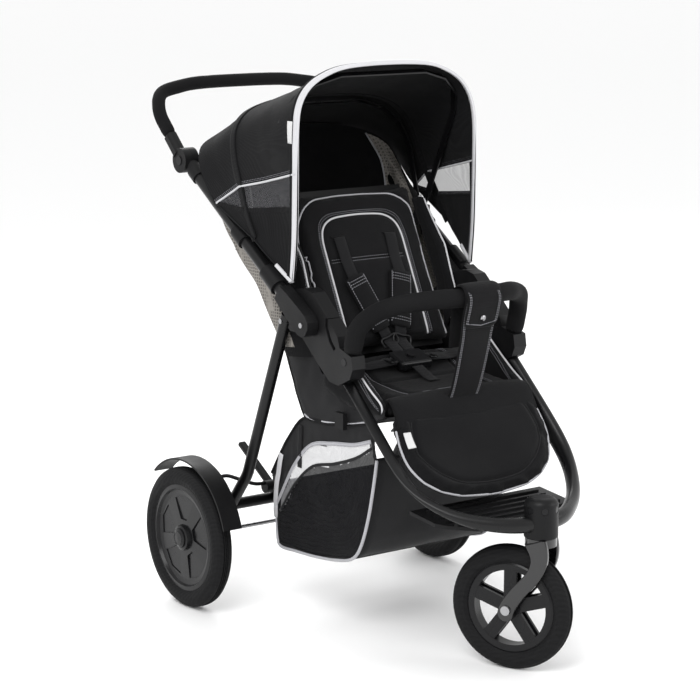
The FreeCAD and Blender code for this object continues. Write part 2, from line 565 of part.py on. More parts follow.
# ---------------------------------------------------------------- brake
# foot lever and the bent rod that turns with it; its hub sits round a stub on the cross tube's saddle
by, bz = -30.0, 217.0
lever = Part.makeBox(16, 10, 122, V(-8, -5, 4))
lever = soft(lever, 3.5)
lever.rotate(V(0, 0, 0), V(1, 0, 0), -59)
lever.translate(V(-122, by, bz))
hubc = Part.makeCylinder(12, 34, V(-139, by, bz), V(1, 0, 0))
rod = round_tube([(-138, by, bz + 7), (-162, by, bz + 9), (-204, by + 42, bz + 26), (-240, by + 46, bz + 10), (-243, by + 46, bz - 4)], [24, 26, 7], 3.6)
bar = lever.multiFuse([hubc, rod]).cut(Part.makeCylinder(5.05, 60, V(-150, by, bz), V(1, 0, 0)))
node("brake_lever", feature("brake_lever_piece", bar))
saddle = prism([(-44, 206), (-42, 222), (-34, 230), (-24, 228), (4, 200), (8, 188), (4, 176), (-14, 174), (-22, 182)], -103, -97)
saddle = saddle.fuse(Part.makeCylinder(5, 42, V(-139, by, bz), V(1, 0, 0)))
sd = feature("brake_saddle_block", saddle)
sdc = cyl("brake_saddle_seat", "Dims.cross_radius", 100, (-170, -6, 186), (1, 0, 0))
node("brake_saddle", cut("brake_saddle_cut", sd, sdc))

# ---------------------------------------------------------------- push frame, handle
fy, fz = D["fold_y"], D["fold_z"]
hy, hz = D["handle_y"], D["handle_z"]
L = math.hypot(hy - fy, hz - fz)
dy, dz = (hy - fy) / L, (hz - fz) / L
hp = D["half_push"]
for side, tag in ((-1, "right"), (1, "left")):
    x = side * hp
    tube = cyl("push_tube_piece_" + tag, "Dims.push_radius", "Dims.push_len", (x, fy + dy * 38, fz + dz * 38), (0, dy, dz))
    node("push_tube_" + tag, tube)
    # moulded shoe on the lower end, with the fold pivot hole
    n = (-dz, dy)
    xs0 = 202.0 if side > 0 else -202.0 - D["shoe_thick"]
    prof = []
    for s_, w_ in ((-20, 8), (-14, 17), (0, 22), (30, 21), (70, 18), (92, 15)):
        prof.append((fy + dy * s_ + n[0] * w_, fz + dz * s_ + n[1] * w_))
    for s_, w_ in ((92, -15), (70, -18), (30, -21), (0, -22), (-14, -17), (-20, -8)):
        prof.append((fy + dy * s_ + n[0] * w_, fz + dz * s_ + n[1] * w_))
    shoe = pd_pad("hinge_shoe_body_" + tag, prof, xs0, "Dims.shoe_thick")
    t1 = cyl("shoe_socket_" + tag, "Dims.push_radius", "Dims.push_len", (x, fy + dy * 38, fz + dz * 38), (0, dy, dz))
    t2 = cyl("shoe_bolt_" + tag, "Dims.bolt_radius", 60, (x - 30, fy, fz), (1, 0, 0))
    node("hinge_shoe_" + tag, cut("hinge_shoe_cut_" + tag, shoe, fuse("shoe_tools_" + tag, [t1, t2])))
    # sliding sleeve that holds the fold lock closed
    s0 = 104.0
    so = cyl("lock_sleeve_outer_" + tag, "Dims.slider_radius", "Dims.slider_len", (x, fy + dy * s0, fz + dz * s0), (0, dy, dz))
    si = cyl("lock_sleeve_inner_" + tag, "Dims.push_radius + 0.3", "Dims.slider_len + 4", (x, fy + dy * (s0 - 2), fz + dz * (s0 - 2)), (0, dy, dz))
    sb = box("lock_sleeve_opening_" + tag, (40, 400, 400), (-203.2 if side > 0 else -203.2 + 0.0, -400, 500)) if False else feature(
        "lock_sleeve_opening_" + tag, Part.makeBox(60, 400, 400, V(143.2 if side > 0 else -203.2, -400, 450)))
    node("fold_lock_sleeve_" + tag, cut("lock_sleeve_cut_" + tag, so, fuse("lock_sleeve_tools_" + tag, [si, sb])))

hh = []
for side in (-1, 1):
    k = side + 1
    xs = sorted((side * 201, side * 215.2))
    disc = cyl("handle_boss_%d" % k, "Dims.handle_disc_radius", 14.2, (xs[0], hy, hz), (1, 0, 0))
    neck = cyl("handle_neck_%d" % k, "Dims.push_radius + 3", 36, (side * hp, hy - dy * 56, hz - dz * 56), (0, dy, dz))
    neckcut = feature("handle_neck_clip_%d" % k, Part.makeBox(60, 200, 200, V(215.2 if side > 0 else -275.2, hy - 24.4, hz - 100)))
    f = fuse("handle_housing_fuse_%d" % k, [disc, neck])
    tube = cyl("handle_housing_seat_%d" % k, "Dims.push_radius", "Dims.push_len", (side * hp, fy + dy * 38, fz + dz * 38), (0, dy, dz))
    bore = cyl("handle_housing_bore_%d" % k, "Dims.button_radius + 0.5", 40, (side * 205, hy, hz), (side, 0, 0))
    hh.append(cut("handle_housing_%d" % k, f, fuse("handle_housing_tools_%d" % k, [tube, bore, neckcut])))
node("handle_joint_housings", group("handle_housing_pair", hh))

# handle: bent tube with foam grip, turning on the two discs
HX = 222.0
gdy, gdz = 0.7306, 0.6829


def grip_path(start):
    """Arched path of the handle: up both sides, then across, with its ends start mm from the pivot."""
    half = [(-HX, start), (-HX, 118.0), (-HX + 26, 175.0), (-HX + 122, 199.0)]
    rest = [(-x_, s_) for x_, s_ in reversed(half)]
    return [(x_, hy + gdy * s_, hz + gdz * s_) for x_, s_ in half + rest]


core = round_tube(grip_path(26), [60, 50, 150, 150, 50, 60], D["handle_tube_radius"])
node("handle_tube", feature("handle_tube_piece", core))
foam = round_tube(grip_path(66), [60, 50, 150, 150, 50, 60], D["grip_radius"]).cut(core)
node("handle_grip", feature("handle_grip_piece", foam))
hd = []
for side, tag in ((-1, "right"), (1, "left")):
    xs = sorted((side * 215.6, side * 232.0))
    disc = Part.makeCylinder(D["handle_disc_radius"], 16.4, V(xs[0], hy, hz), V(1, 0, 0))
    sock = Part.makeCylinder(13.5, 46, V(side * HX, hy + gdy * 16, hz + gdz * 16), V(0, gdy, gdz))
    lim = Part.makeBox(18.8, 400, 400, V(xs[0] if side > 0 else xs[0] - 2.4, hy - 200, hz - 200))
    d_ = disc.fuse(sock.common(lim)).cut(Part.makeCylinder(D["button_radius"] + 0.4, 60, V(xs[0] - 20, hy, hz), V(1, 0, 0))).cut(core)
    hd.append(feature("handle_disc_" + tag, d_))
    bx = side * 221.0
    btn = cyl("handle_button_piece_" + tag, "Dims.button_radius", 12.5, (bx, hy, hz), (side, 0, 0))
    node("handle_button_" + tag, btn)
node("handle_discs", group("handle_disc_pair", hd))

# ---------------------------------------------------------------- canopy
# bows turn on clamps carried by the push tubes
cy0, cz0 = -86.0, 738.0
clampset = []
s_c = (cy0 - fy) * dy + (cz0 - fz) * dz
for side in (-1, 1):
    k = side + 1
    o = cyl("clamp_ring_%d" % k, 16.0, 34, (side * hp, fy + dy * (s_c - 17), fz + dz * (s_c - 17)), (0, dy, dz))
    arm_ = feature("clamp_arm_%d" % k, prism([(cy0 - 12, cz0 - 14), (cy0 - 12, cz0 + 12), (cy0 + 12, cz0 + 14), (cy0 + 12, cz0 - 12)], *sorted((side * 201.5, side * 210))))
    pin = cyl("clamp_pin_%d" % k, 3.95, 11.5, (side * 190.0 if side > 0 else -201.5, cy0, cz0), (1, 0, 0))
    flat = feature("clamp_flat_%d" % k, Part.makeBox(20, 200, 200, V(181.5 if side > 0 else -201.5, cy0 - 100, cz0 - 100)))
    t = cyl("clamp_seat_%d" % k, "Dims.push_radius", "Dims.push_len", (side * hp, fy + dy * 38, fz + dz * 38), (0, dy, dz))
    ring_cut = cut("clamp_ring_cut_%d" % k, fuse("clamp_ring_arm_%d" % k, [o, arm_]), fuse("clamp_tools_%d" % k, [t, flat]))
    clampset.append(fuse("clamp_%d" % k, [ring_cut, pin]))
node("canopy_clamps", group("canopy_clamp_pair", clampset))


def bow(x_out, ang, length, drop):
    """U-shaped flat bow: ends at the clamp pin, crown across the stroller."""
    a = math.radians(ang)
    u = (math.cos(a), math.sin(a))
    g = D["bow_gauge"]
    w = 13.0

    def at(x, s_):
        return V(x, cy0 + u[0] * s_, cz0 + u[1] * s_)
    outer_p = [(-x_out, 0), (-x_out, length - 95), (-x_out + 16, length - 48), (-x_out + 52, length - 16), (-x_out + 104, length), (x_out - 104, length),
               (x_out - 52, length - 16), (x_out - 16, length - 48), (x_out, length - 95), (x_out, 0)]
    inner_p = [(x_out - g, 0), (x_out - g, length - 95), (x_out - 16 - g, length - 49.4), (x_out - 53.5, length - 18.6), (x_out - 104.4, length - g), (-x_out + 104.4, length - g),
               (-x_out + 53.5, length - 18.6), (-x_out + 16 + g, length - 49.4), (-x_out + g, length - 95), (-x_out + g, 0)]
    pts_ = [at(x, s_) for x, s_ in outer_p + inner_p]
    face = Part.Face(Part.makePolygon(pts_ + [pts_[0]]))
    nrm = V(0, -u[1], u[0])
    face.translate(nrm * (-w / 2))
    s = face.extrude(nrm * w)
    return s


front_bow = bow(200.6, 116.0, 318.5, 0)
mid_bow = bow(195.8, 74.0, 228.0, 0)
for nm, shp, x_o in (("canopy_front_bow", front_bow, 200.6), ("canopy_mid_bow", mid_bow, 195.8)):
    g = D["bow_gauge"]
    for side in (-1, 1):
        xs = sorted((side * x_o, side * (x_o - g)))
        shp = shp.fuse(Part.makeCylinder(11, g, V(xs[0], cy0, cz0), V(1, 0, 0)))
    shp = shp.removeSplitter()
    for side in (-1, 1):
        shp = shp.cut(Part.makeCylinder(4.0, 20, V(side * 196 - 10, cy0, cz0), V(1, 0, 0)))
    node(nm, feature(nm + "_piece", shp))

# canopy cloth: two thin curved sheets, each closed, meeting near the middle bow
RIM = [(-207.8, -230, 654), (-207.0, -238, 730), (-206.5, -241, 840), (-205, -241, 930), (-196, -238, 975), (-174, -236, 1006), (-138, -236, 1027), (-90, -238, 1040), (0, -240, 1044)]
MID = [(-226.5, -136, 722), (-224, -104, 765), (-219, -72, 820), (-213, -46, 870), (-203, -32, 912), (-180, -26, 940), (-142, -22, 957), (-92, -20, 966), (0, -20, 969)]
REAR = [(-233, -22, 776), (-233, 2, 792), (-232.8, 24, 812), (-231, 42, 834), (-224, 60, 858), (-200, 84, 878), (-154, 104, 892), (-96, 114, 900), (0, 118, 903)]


def full(sec):
    return sec + [(-x, y, z) for x, y, z in reversed(sec[:-1])]


def sheet_solid(secs, gauge):
    """Closed thin solid between a surface lofted through the sections and its inward copy."""
    def surf(off):
        wires = []
        for sec in secs:
            pts_ = full(sec)
            n_ = len(pts_)
            out = []
            for i_, (x, y, z) in enumerate(pts_):
                a_ = pts_[max(i_ - 1, 0)]
                b_ = pts_[min(i_ + 1, n_ - 1)]
                tx, tz_ = b_[0] - a_[0], b_[2] - a_[2]
                l_ = math.hypot(tx, tz_)
                nx, nz_ = tz_ / l_, -tx / l_
                out.append(V(x + nx * off, y, z + nz_ * off))
            wires.append(out)
        return wires
    so, si_ = surf(0), surf(gauge)

    def crv(p_):
        c_ = Part.BSplineCurve()
        c_.interpolate(p_)
        return c_.toShape()
    o_ = [crv(p_) for p_ in so]
    i_c = [crv(p_) for p_ in si_]
    faces = [Part.makeRuledSurface(o_[0], o_[1]), Part.makeRuledSurface(i_c[0], i_c[1]),
             Part.makeRuledSurface(o_[0], i_c[0]), Part.makeRuledSurface(o_[1], i_c[1])]
    for k_ in (0, -1):
        ed = [Part.LineSegment(so[0][k_], so[1][k_]).toShape(), Part.LineSegment(si_[0][k_], si_[1][k_]).toShape()]
        faces.append(Part.makeRuledSurface(ed[0], ed[1]))
    sh_ = Part.Shell([f_ for x_ in faces for f_ in x_.Faces])
    sh_.sewShape()
    so_ = Part.Solid(sh_ if isinstance(sh_, Part.Shell) else sh_.Shells[0])
    if so_.Volume < 0:
        so_.reverse()
    return so_


def lerp(A, B, t):
    return [tuple(a + (b - a) * t for a, b in zip(p, q)) for p, q in zip(A, B)]


front_panel = sheet_solid([RIM, lerp(MID, RIM, 0.006)], D["canopy_gauge"]).cut(front_bow)
front_panel = sorted(front_panel.Solids, key=lambda s_: -s_.Volume)[0]
rear_panel = sheet_solid([MID, REAR], D["canopy_gauge"])
print("canopy", front_panel.isValid(), front_panel.Volume, rear_panel.isValid(), rear_panel.Volume, front_panel.ShapeType)
node("canopy_front_panel", feature("canopy_front_panel_piece", front_panel))
node("canopy_rear_panel", feature("canopy_rear_panel_piece", rear_panel))

# ---------------------------------------------------------------- backrest
# padded board leaning back from the seat crease
rby, rbz = -240.0, 506.0
rl = (0.44, 0.898)
rn = (-0.898, 0.44)


def rest(pts_sw, x0, x1):
    return prism([(rby + rl[0] * s_ + rn[0] * w_, rbz + rl[1] * s_ + rn[1] * w_) for s_, w_ in pts_sw], x0, x1)


board_b = rest([(0, -14), (326, -14), (326, -8), (0, -8)], -140, 140)
node("backrest_board", feature("backrest_board_piece", board_b))
cush = rest([(2, -7.8), (312, -7.8), (322, 2), (312, 14), (2, 14)], -148, 148)
node("backrest_cushion", feature("backrest_cushion_piece", cush))
wings = []
for side in (-1, 1):
    xs = sorted((side * 170, side * 158))
    wings.append(feature("wing_%d" % (side + 1), rest([(30, -10), (300, -10), (290, 26), (180, 52), (84, 44), (50, 20)], xs[0], xs[1])))
ties = [feature("wing_tie_%d" % k, rest([(s0, -8 - 5), (s0 + 30, -8 - 5), (s0 + 30, -8.2), (s0, -8.2)], x0, x0 + 18.2)) for k, (s0, x0) in enumerate([(80, 140), (240, 140), (80, -158.2), (240, -158.2)])]
node("backrest_wings", group("backrest_wing_set", wings + ties) if False else fuse("wings_and_ties", wings + ties))
pads = []
for side in (-1, 1):
    xs = sorted((side * 34, side * 72))
    pads.append(feature("shoulder_%d" % (side + 1), rest([(26, 14.3), (130, 14.3), (130, 24), (26, 24)], xs[0], xs[1])))
node("shoulder_pads", group("shoulder_pad_pair", pads))

# ---------------------------------------------------------------- leg rest
lp = (-466.0, 440.0)
a = math.radians(-55.5)
lu = (-math.cos(a), math.sin(a))
ln_ = (-lu[1] * -1, lu[0] * -1)
up_n = (math.sin(math.radians(55.5)) * -1, math.cos(math.radians(55.5)))


def apron(s_, w_):
    return (lp[0] + lu[0] * s_ + up_n[0] * w_, lp[1] + lu[1] * s_ + up_n[1] * w_)


slab = prism([apron(4, -9), apron(188, -9), apron(188, 9), apron(4, 9)], -172, 172)
outl = [(-158, 4), (-168, 30), (-172, 70), (-168, 100), (-150, 135), (-120, 160), (-80, 176), (0, 184), (80, 176), (120, 160), (150, 135), (168, 100), (172, 70), (168, 30), (158, 4)]
poly = [V(x, lp[0] + lu[0] * s_ + up_n[0] * -30, lp[1] + lu[1] * s_ + up_n[1] * -30) for x, s_ in outl]
trim = Part.Face(Part.makePolygon(poly + [poly[0]])).extrude(V(0, up_n[0] * 60, up_n[1] * 60))
node("leg_rest", feature("leg_rest_piece", slab.common(trim)))

# ---------------------------------------------------------------- bumper bar
bpts = [(-186, -382.6, 522.0), (-186, -397.5, 577.6), (-156, -437, 632), (-66, -508, 645), (66, -508, 645), (156, -437, 632), (186, -397.5, 577.6), (186, -382.6, 522.0)]
btube = round_tube(bpts, [40, 50, 90, 90, 50, 40], D["bar_radius"])
node("bumper_bar", feature("bumper_bar_piece", btube))
fpts = [(-186, -389.3, 547.0)] + bpts[1:-1] + [(186, -389.3, 547.0)]
bfoam = round_tube(fpts, [40, 50, 90, 90, 50, 40], D["foam_radius"]).cut(btube)
node("bumper_foam", feature("bumper_foam_piece", bfoam))
# padded strap that hangs from the bar in front of the child
strap = prism([(-530, 636), (-527, 655), (-514, 666), (-498, 664), (-487, 652), (-487, 634), (-478, 560), (-466, 463), (-473, 460), (-487, 500), (-500, 590), (-512, 622)], -30, 30)
strap = strap.cut(round_tube(fpts, [40, 50, 90, 90, 50, 40], D["foam_radius"])).cut(btube)
sv = sorted(strap.Solids, key=lambda s_: -s_.Volume)[0]
node("crotch_strap", feature("crotch_strap_piece", sv))
for side, tag in ((-1, "right"), (1, "left")):
    btn = cyl("bumper_button_piece_" + tag, 7.0, 5.0, (side * 196.2, -383, 528), (side, 0, 0))
    node("bumper_button_" + tag, btn)

# ---------------------------------------------------------------- checks and export
doc.recompute()
bad = [o.Name for o in doc.Objects if "Invalid" in o.State or "Error" in o.State]
for label, obj in NODES:
    sh = obj.Shape
    if sh.isNull() or not sh.isValid() or sh.Volume <= 0:
        bad.append("shape:" + label)
if bad:
    raise RuntimeError("failed objects: " + ", ".join(bad))
os.makedirs("parts", exist_ok=True)
names = [label for label, _ in NODES]
assert len(names) == len(set(names)) and len(names) <= 60, len(names)
for label, obj in NODES:
    obj.Shape.exportStep("parts/%s.step" % label)
bb = FreeCAD.BoundBox()
for label, obj in NODES:
    bb.add(obj.Shape.BoundBox)
print("nodes", len(names), "box", [round(v, 1) for v in (bb.XMin, bb.XMax, bb.YMin, bb.YMax, bb.ZMin, bb.ZMax)])
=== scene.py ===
import math
import random

import bmesh
import bpy
import numpy as np
from mathutils import Matrix, Vector, noise
from mathutils.bvhtree import BVHTree
from mathutils.kdtree import KDTree


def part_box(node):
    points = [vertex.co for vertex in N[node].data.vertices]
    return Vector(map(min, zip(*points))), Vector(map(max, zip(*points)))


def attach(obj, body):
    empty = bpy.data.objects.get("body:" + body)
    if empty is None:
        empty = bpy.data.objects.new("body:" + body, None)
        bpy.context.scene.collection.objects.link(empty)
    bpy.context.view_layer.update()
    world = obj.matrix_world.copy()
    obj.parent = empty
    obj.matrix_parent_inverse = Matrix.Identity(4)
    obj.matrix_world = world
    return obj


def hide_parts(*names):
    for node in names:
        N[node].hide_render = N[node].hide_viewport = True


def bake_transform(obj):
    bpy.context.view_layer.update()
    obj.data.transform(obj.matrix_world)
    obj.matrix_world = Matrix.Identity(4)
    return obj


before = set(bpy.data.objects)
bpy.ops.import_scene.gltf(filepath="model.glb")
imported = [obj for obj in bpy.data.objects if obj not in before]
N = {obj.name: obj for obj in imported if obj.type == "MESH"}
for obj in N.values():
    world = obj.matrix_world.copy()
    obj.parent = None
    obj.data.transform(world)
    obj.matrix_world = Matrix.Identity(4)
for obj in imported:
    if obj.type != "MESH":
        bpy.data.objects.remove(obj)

random.seed(4)
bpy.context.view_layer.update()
OY = sum(p.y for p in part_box("rear_axle_rod")) / 2  # row y of the rear axle


def A(x, y, z):
    """Point given in mm from the middle of the rear axle line on the floor."""
    return Vector((x / 1000, y / 1000 + OY, z / 1000))


def AL(pts):
    return [A(*p) for p in pts]


# ------------------------------------------------------------------ materials
MATS = {}


def nodes_of(name):
    m = bpy.data.materials.new(name)
    m.use_nodes = True
    t = m.node_tree
    return m, t, t.nodes["Principled BSDF"], t.nodes["Material Output"]


def make(name, col, rough, kind="grain", scale=600.0, strength=0.25, dist=0.0004, metal=0.0, coat=0.0, sheen=0.0, vary=0.25, see=0.0, rvary=0.12, spec=0.14):
    m, t, b, out = nodes_of(name)
    L = t.links.new
    b.inputs["Metallic"].default_value = metal
    b.inputs["Specular IOR Level"].default_value = 0.5 if metal else spec
    b.inputs["Coat Weight"].default_value = coat
    b.inputs["Coat Roughness"].default_value = 0.12
    b.inputs["Sheen Weight"].default_value = sheen
    b.inputs["Sheen Roughness"].default_value = 0.5
    tc = t.nodes.new("ShaderNodeTexCoord")
    big = t.nodes.new("ShaderNodeTexNoise")
    big.inputs["Scale"].default_value = 9.0
    big.inputs["Detail"].default_value = 5.0
    L(tc.outputs["Object"], big.inputs["Vector"])

    def ramp(src, lo, hi, a=0.3, z=0.7):
        r = t.nodes.new("ShaderNodeMapRange")
        r.inputs["From Min"].default_value = a
        r.inputs["From Max"].default_value = z
        r.inputs["To Min"].default_value = lo
        r.inputs["To Max"].default_value = hi
        L(src, r.inputs["Value"])
        return r.outputs["Result"]

    def wave(direction, s, offset=0.0, distort=0.3):
        w = t.nodes.new("ShaderNodeTexWave")
        w.bands_direction = direction
        w.inputs["Scale"].default_value = s
        w.inputs["Distortion"].default_value = distort
        w.inputs["Detail"].default_value = 1.0
        w.inputs["Phase Offset"].default_value = offset
        L(tc.outputs["Object"], w.inputs["Vector"])
        return w.outputs["Fac"]

    def op(kind_, a, c):
        n = t.nodes.new("ShaderNodeMath")
        n.operation = kind_
        for k, v in enumerate((a, c)):
            if isinstance(v, (int, float)):
                n.inputs[k].default_value = v
            else:
                L(v, n.inputs[k])
        return n.outputs[0]

    if kind == "weave":
        h = op("MAXIMUM", op("MULTIPLY", wave("X", scale), wave("Z", scale)), op("MULTIPLY", wave("Y", scale, 1.2), wave("X", scale, 2.0)))
    elif kind == "twill":
        h = op("MAXIMUM", wave("DIAGONAL", scale), op("MULTIPLY", wave("Z", scale * 0.6), 0.7))
    elif kind == "honey":
        v = t.nodes.new("ShaderNodeTexVoronoi")
        v.feature = "DISTANCE_TO_EDGE"
        v.inputs["Scale"].default_value = scale
        v.inputs["Randomness"].default_value = 0.15
        L(tc.outputs["Object"], v.inputs["Vector"])
        h = ramp(v.outputs["Distance"], 1.0, 0.0, 0.05, 0.3)
    elif kind == "foam":
        v = t.nodes.new("ShaderNodeTexVoronoi")
        v.inputs["Scale"].default_value = scale
        L(tc.outputs["Object"], v.inputs["Vector"])
        h = v.outputs["Distance"]
    elif kind == "brushed":
        mp = t.nodes.new("ShaderNodeMapping")
        mp.inputs["Scale"].default_value = (0.06, 1.0, 1.0)
        L(tc.outputs["Object"], mp.inputs["Vector"])
        n_ = t.nodes.new("ShaderNodeTexNoise")
        n_.inputs["Scale"].default_value = scale
        L(mp.outputs["Vector"], n_.inputs["Vector"])
        h = n_.outputs["Fac"]
    else:
        n_ = t.nodes.new("ShaderNodeTexNoise")
        n_.inputs["Scale"].default_value = scale
        n_.inputs["Detail"].default_value = 3.0
        L(tc.outputs["Object"], n_.inputs["Vector"])
        h = n_.outputs["Fac"]
    mix = t.nodes.new("ShaderNodeMix")
    mix.data_type = "RGBA"
    lo = [c * (1 - vary) for c in col]
    hi = [min(1.0, c * (1 + vary)) for c in col]
    if kind == "honey":
        lo = [c * 0.28 for c in col]
    mix.inputs["A"].default_value = (*lo, 1)
    mix.inputs["B"].default_value = (*hi, 1)
    fac = op("ADD", op("MULTIPLY", h, 0.75 if kind in ("weave", "twill", "honey") else 0.4), op("MULTIPLY", ramp(big.outputs["Fac"], 0.0, 1.0), 0.35))
    L(fac, mix.inputs["Factor"])
    L(mix.outputs["Result"], b.inputs["Base Color"])
    L(ramp(big.outputs["Fac"], max(0.03, rough - rvary), min(1.0, rough + rvary)), b.inputs["Roughness"])
    bump = t.nodes.new("ShaderNodeBump")
    bump.inputs["Strength"].default_value = strength
    bump.inputs["Distance"].default_value = dist
    L(h, bump.inputs["Height"])
    L(bump.outputs["Normal"], b.inputs["Normal"])
    if see > 0:
        tr = t.nodes.new("ShaderNodeBsdfTransparent")
        ms = t.nodes.new("ShaderNodeMixShader")
        L(ramp(h, min(1.0, see * 1.25), see * 0.75, 0.0, 1.0), ms.inputs["Fac"])
        L(b.outputs[0], ms.inputs[1])
        L(tr.outputs[0], ms.inputs[2])
        L(ms.outputs[0], out.inputs["Surface"])
    MATS[name] = m
    return m


paint = make("satin black enamel", (0.0042, 0.0042, 0.0046), 0.34, scale=900, strength=0.12, coat=0.05, spec=0.26)
steel = make("plain steel", (0.40, 0.40, 0.41), 0.34, kind="brushed", scale=900, strength=0.2, metal=1.0)
plast = make("grained plastic", (0.0060, 0.0060, 0.0065), 0.46, scale=1500, strength=0.35, spec=0.17)
gloss = make("smooth plastic", (0.0075, 0.0075, 0.0082), 0.28, scale=500, strength=0.08, coat=0.03, spec=0.20)
forkm = make("glossy moulding", (0.0040, 0.0040, 0.0044), 0.15, scale=220, strength=0.05, coat=0.55, rvary=0.06, spec=0.4)
foamm = make("closed cell foam", (0.0055, 0.0055, 0.006), 0.86, kind="foam", scale=900, strength=0.5)
tyrem = make("moulded tyre", (0.0065, 0.0065, 0.007), 0.70, kind="twill", scale=60, strength=0.35, dist=0.0012)
cloth = make("woven polyester", (0.0042, 0.0042, 0.0048), 0.88, kind="weave", scale=330, strength=0.6, sheen=0.04)
canop = make("canopy cloth", (0.0040, 0.0040, 0.0046), 0.82, kind="weave", scale=300, strength=0.5, sheen=0.03)
satin = make("satin lining cloth", (0.0060, 0.0060, 0.0068), 0.56, kind="twill", scale=260, strength=0.35, sheen=0.06)
web = make("narrow webbing", (0.0060, 0.0060, 0.0068), 0.72, kind="twill", scale=160, strength=0.8, dist=0.0006, sheen=0.05)
silver = make("silver cloth binding", (0.36, 0.36, 0.38), 0.62, kind="twill", scale=220, strength=0.5, vary=0.12, sheen=0.2)
white = make("white cloth binding", (0.50, 0.50, 0.515), 0.60, kind="twill", scale=240, strength=0.4, vary=0.08)
thread = make("light thread", (0.24, 0.24, 0.26), 0.7, kind="twill", scale=700, strength=0.4, vary=0.15)
honey = make("silver honeycomb mesh", (0.25, 0.235, 0.215), 0.6, kind="honey", scale=170, strength=0.7, dist=0.0008, vary=0.15)
wind = make("grey window mesh", (0.075, 0.075, 0.080), 0.7, kind="weave", scale=420, strength=0.5, see=0.42)
netm = make("black net", (0.006, 0.006, 0.007), 0.8, kind="weave", scale=300, strength=0.6, see=0.06)
lnet = make("light pocket mesh", (0.30, 0.30, 0.31), 0.6, kind="weave", scale=300, strength=0.6, see=0.35, vary=0.15)
tagm = make("blank label cloth", (0.56, 0.56, 0.56), 0.65, kind="weave", scale=500, strength=0.3, vary=0.06)

NODE_MATS = {
    paint: ["front_tube", "rear_leg_right", "rear_leg_left", "rear_cross_tube", "push_tube_right", "push_tube_left", "handle_tube", "canopy_front_bow", "canopy_mid_bow", "bumper_bar"],
    plast: ["front_housing", "hinge_bracket_right", "hinge_bracket_left", "foot_plate", "seat_clips", "basket_board", "wheel_brackets", "brake_saddle", "brake_lever", "hinge_shoe_right",
            "hinge_shoe_left", "handle_joint_housings", "canopy_clamps", "fold_lock_sleeve_right", "fold_lock_sleeve_left", "handle_discs", "fenders", "backrest_board"],
    gloss: ["housing_plugs", "handle_button_right", "handle_button_left", "bumper_button_right", "bumper_button_left", "buckle_housing", "buckle_button", "rear_rim_right", "rear_rim_left",
            "rear_hub_cap_right", "rear_hub_cap_left", "front_rim"],
    forkm: ["front_fork"],
    steel: ["pivot_bolts", "rear_axle_rod", "front_axle"],
    tyrem: ["rear_tyre_right", "rear_tyre_left", "front_tyre"],
}
for m_, names in NODE_MATS.items():
    for n_ in names:
        o_ = N[n_]
        o_.data.materials.clear()
        o_.data.materials.append(m_)


def add(name, verts, faces, mat, body=None, face_mats=None, mats=None, smooth=True):
    me = bpy.data.meshes.new(name)
    me.from_pydata([tuple(v) for v in verts], [], faces)
    for m in (mats or [mat]):
        me.materials.append(m)
    if face_mats is not None:
        me.polygons.foreach_set("material_index", face_mats)
    if smooth:
        me.polygons.foreach_set("use_smooth", [True] * len(me.polygons))
    me.update()
    ob = bpy.data.objects.new(name, me)
    bpy.context.collection.objects.link(ob)
    if body:
        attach(ob, body)
    return ob


def curve(pts, step=0.005, closed=False):
    """Catmull-Rom line through the points, sampled about every step metres."""
    P = [Vector(p) for p in pts]
    n = len(P)
    out = []
    for i in range(n if closed else n - 1):
        if closed:
            a, b, c, d = P[(i - 1) % n], P[i], P[(i + 1) % n], P[(i + 2) % n]
        else:
            b, c = P[i], P[i + 1]
            a = P[i - 1] if i > 0 else b * 2 - c
            d = P[i + 2] if i + 2 < n else c * 2 - b
        k = max(2, int(round((c - b).length / step)))
        for j in range(k):
            t = j / k
            t2, t3 = t * t, t * t * t
            out.append(0.5 * ((2 * b) + (c - a) * t + (2 * a - 5 * b + 4 * c - d) * t2 + (3 * b - a - 3 * c + d) * t3))
    if not closed:
        out.append(P[-1].copy())
    return out


def sweep(pts, prof, normals=None, closed=False):
    """Verts and faces of a profile [(side, up)] swept along pts; normals say which way up points."""
    n, k = len(pts), len(prof)
    vs, fs = [], []
    up = None
    for i, p in enumerate(pts):
        a = pts[(i - 1) % n] if (closed or i > 0) else p
        b = pts[(i + 1) % n] if (closed or i < n - 1) else p
        tan = (b - a).normalized() if (b - a).length > 1e-9 else Vector((1, 0, 0))
        if normals is not None:
            u = normals[i]
        elif up is None:
            u = Vector((0, 0, 1)) if abs(tan.z) < 0.9 else Vector((0, 1, 0))
        else:
            u = up
        u = (u - tan * u.dot(tan)).normalized()
        up = u
        s = tan.cross(u)
        for x, y in prof:
            vs.append(p + s * x + u * y)
    for i in range(n if closed else n - 1):
        for j in range(k):
            a, b = i * k + j, i * k + (j + 1) % k
            c, d = ((i + 1) % n) * k + (j + 1) % k, ((i + 1) % n) * k + j
            fs.append((a, d, c, b))
    if not closed:
        fs.append(tuple(range(k)))
        fs.append(tuple(reversed(range((n - 1) * k, n * k))))
    return vs, fs


def circle(r, k=10, ry=None):
    ry = r if ry is None else ry
    return [(r * math.cos(2 * math.pi * i / k), ry * math.sin(2 * math.pi * i / k)) for i in range(k)]


def flat_prof(w, h):
    """Cross-section of a strap, w wide and h thick with rolled edges, standing on its lower face."""
    e = h / 2
    return [(-w / 2 + e, 0), (-w / 2, e), (-w / 2 + e, h), (-w / 6, h), (w / 6, h), (w / 2 - e, h), (w / 2, e), (w / 2 - e, 0), (w / 6, 0), (-w / 6, 0)]


def tube(name, pts, r, mat, body=None, closed=False, k=10):
    v, f = sweep(pts, circle(r, k), closed=closed)
    return add(name, v, f, mat, body)


def strap(name, pts, normals, w, h, mat, body=None, closed=False):
    v, f = sweep(pts, flat_prof(w, h), normals, closed)
    return add(name, v, f, mat, body)


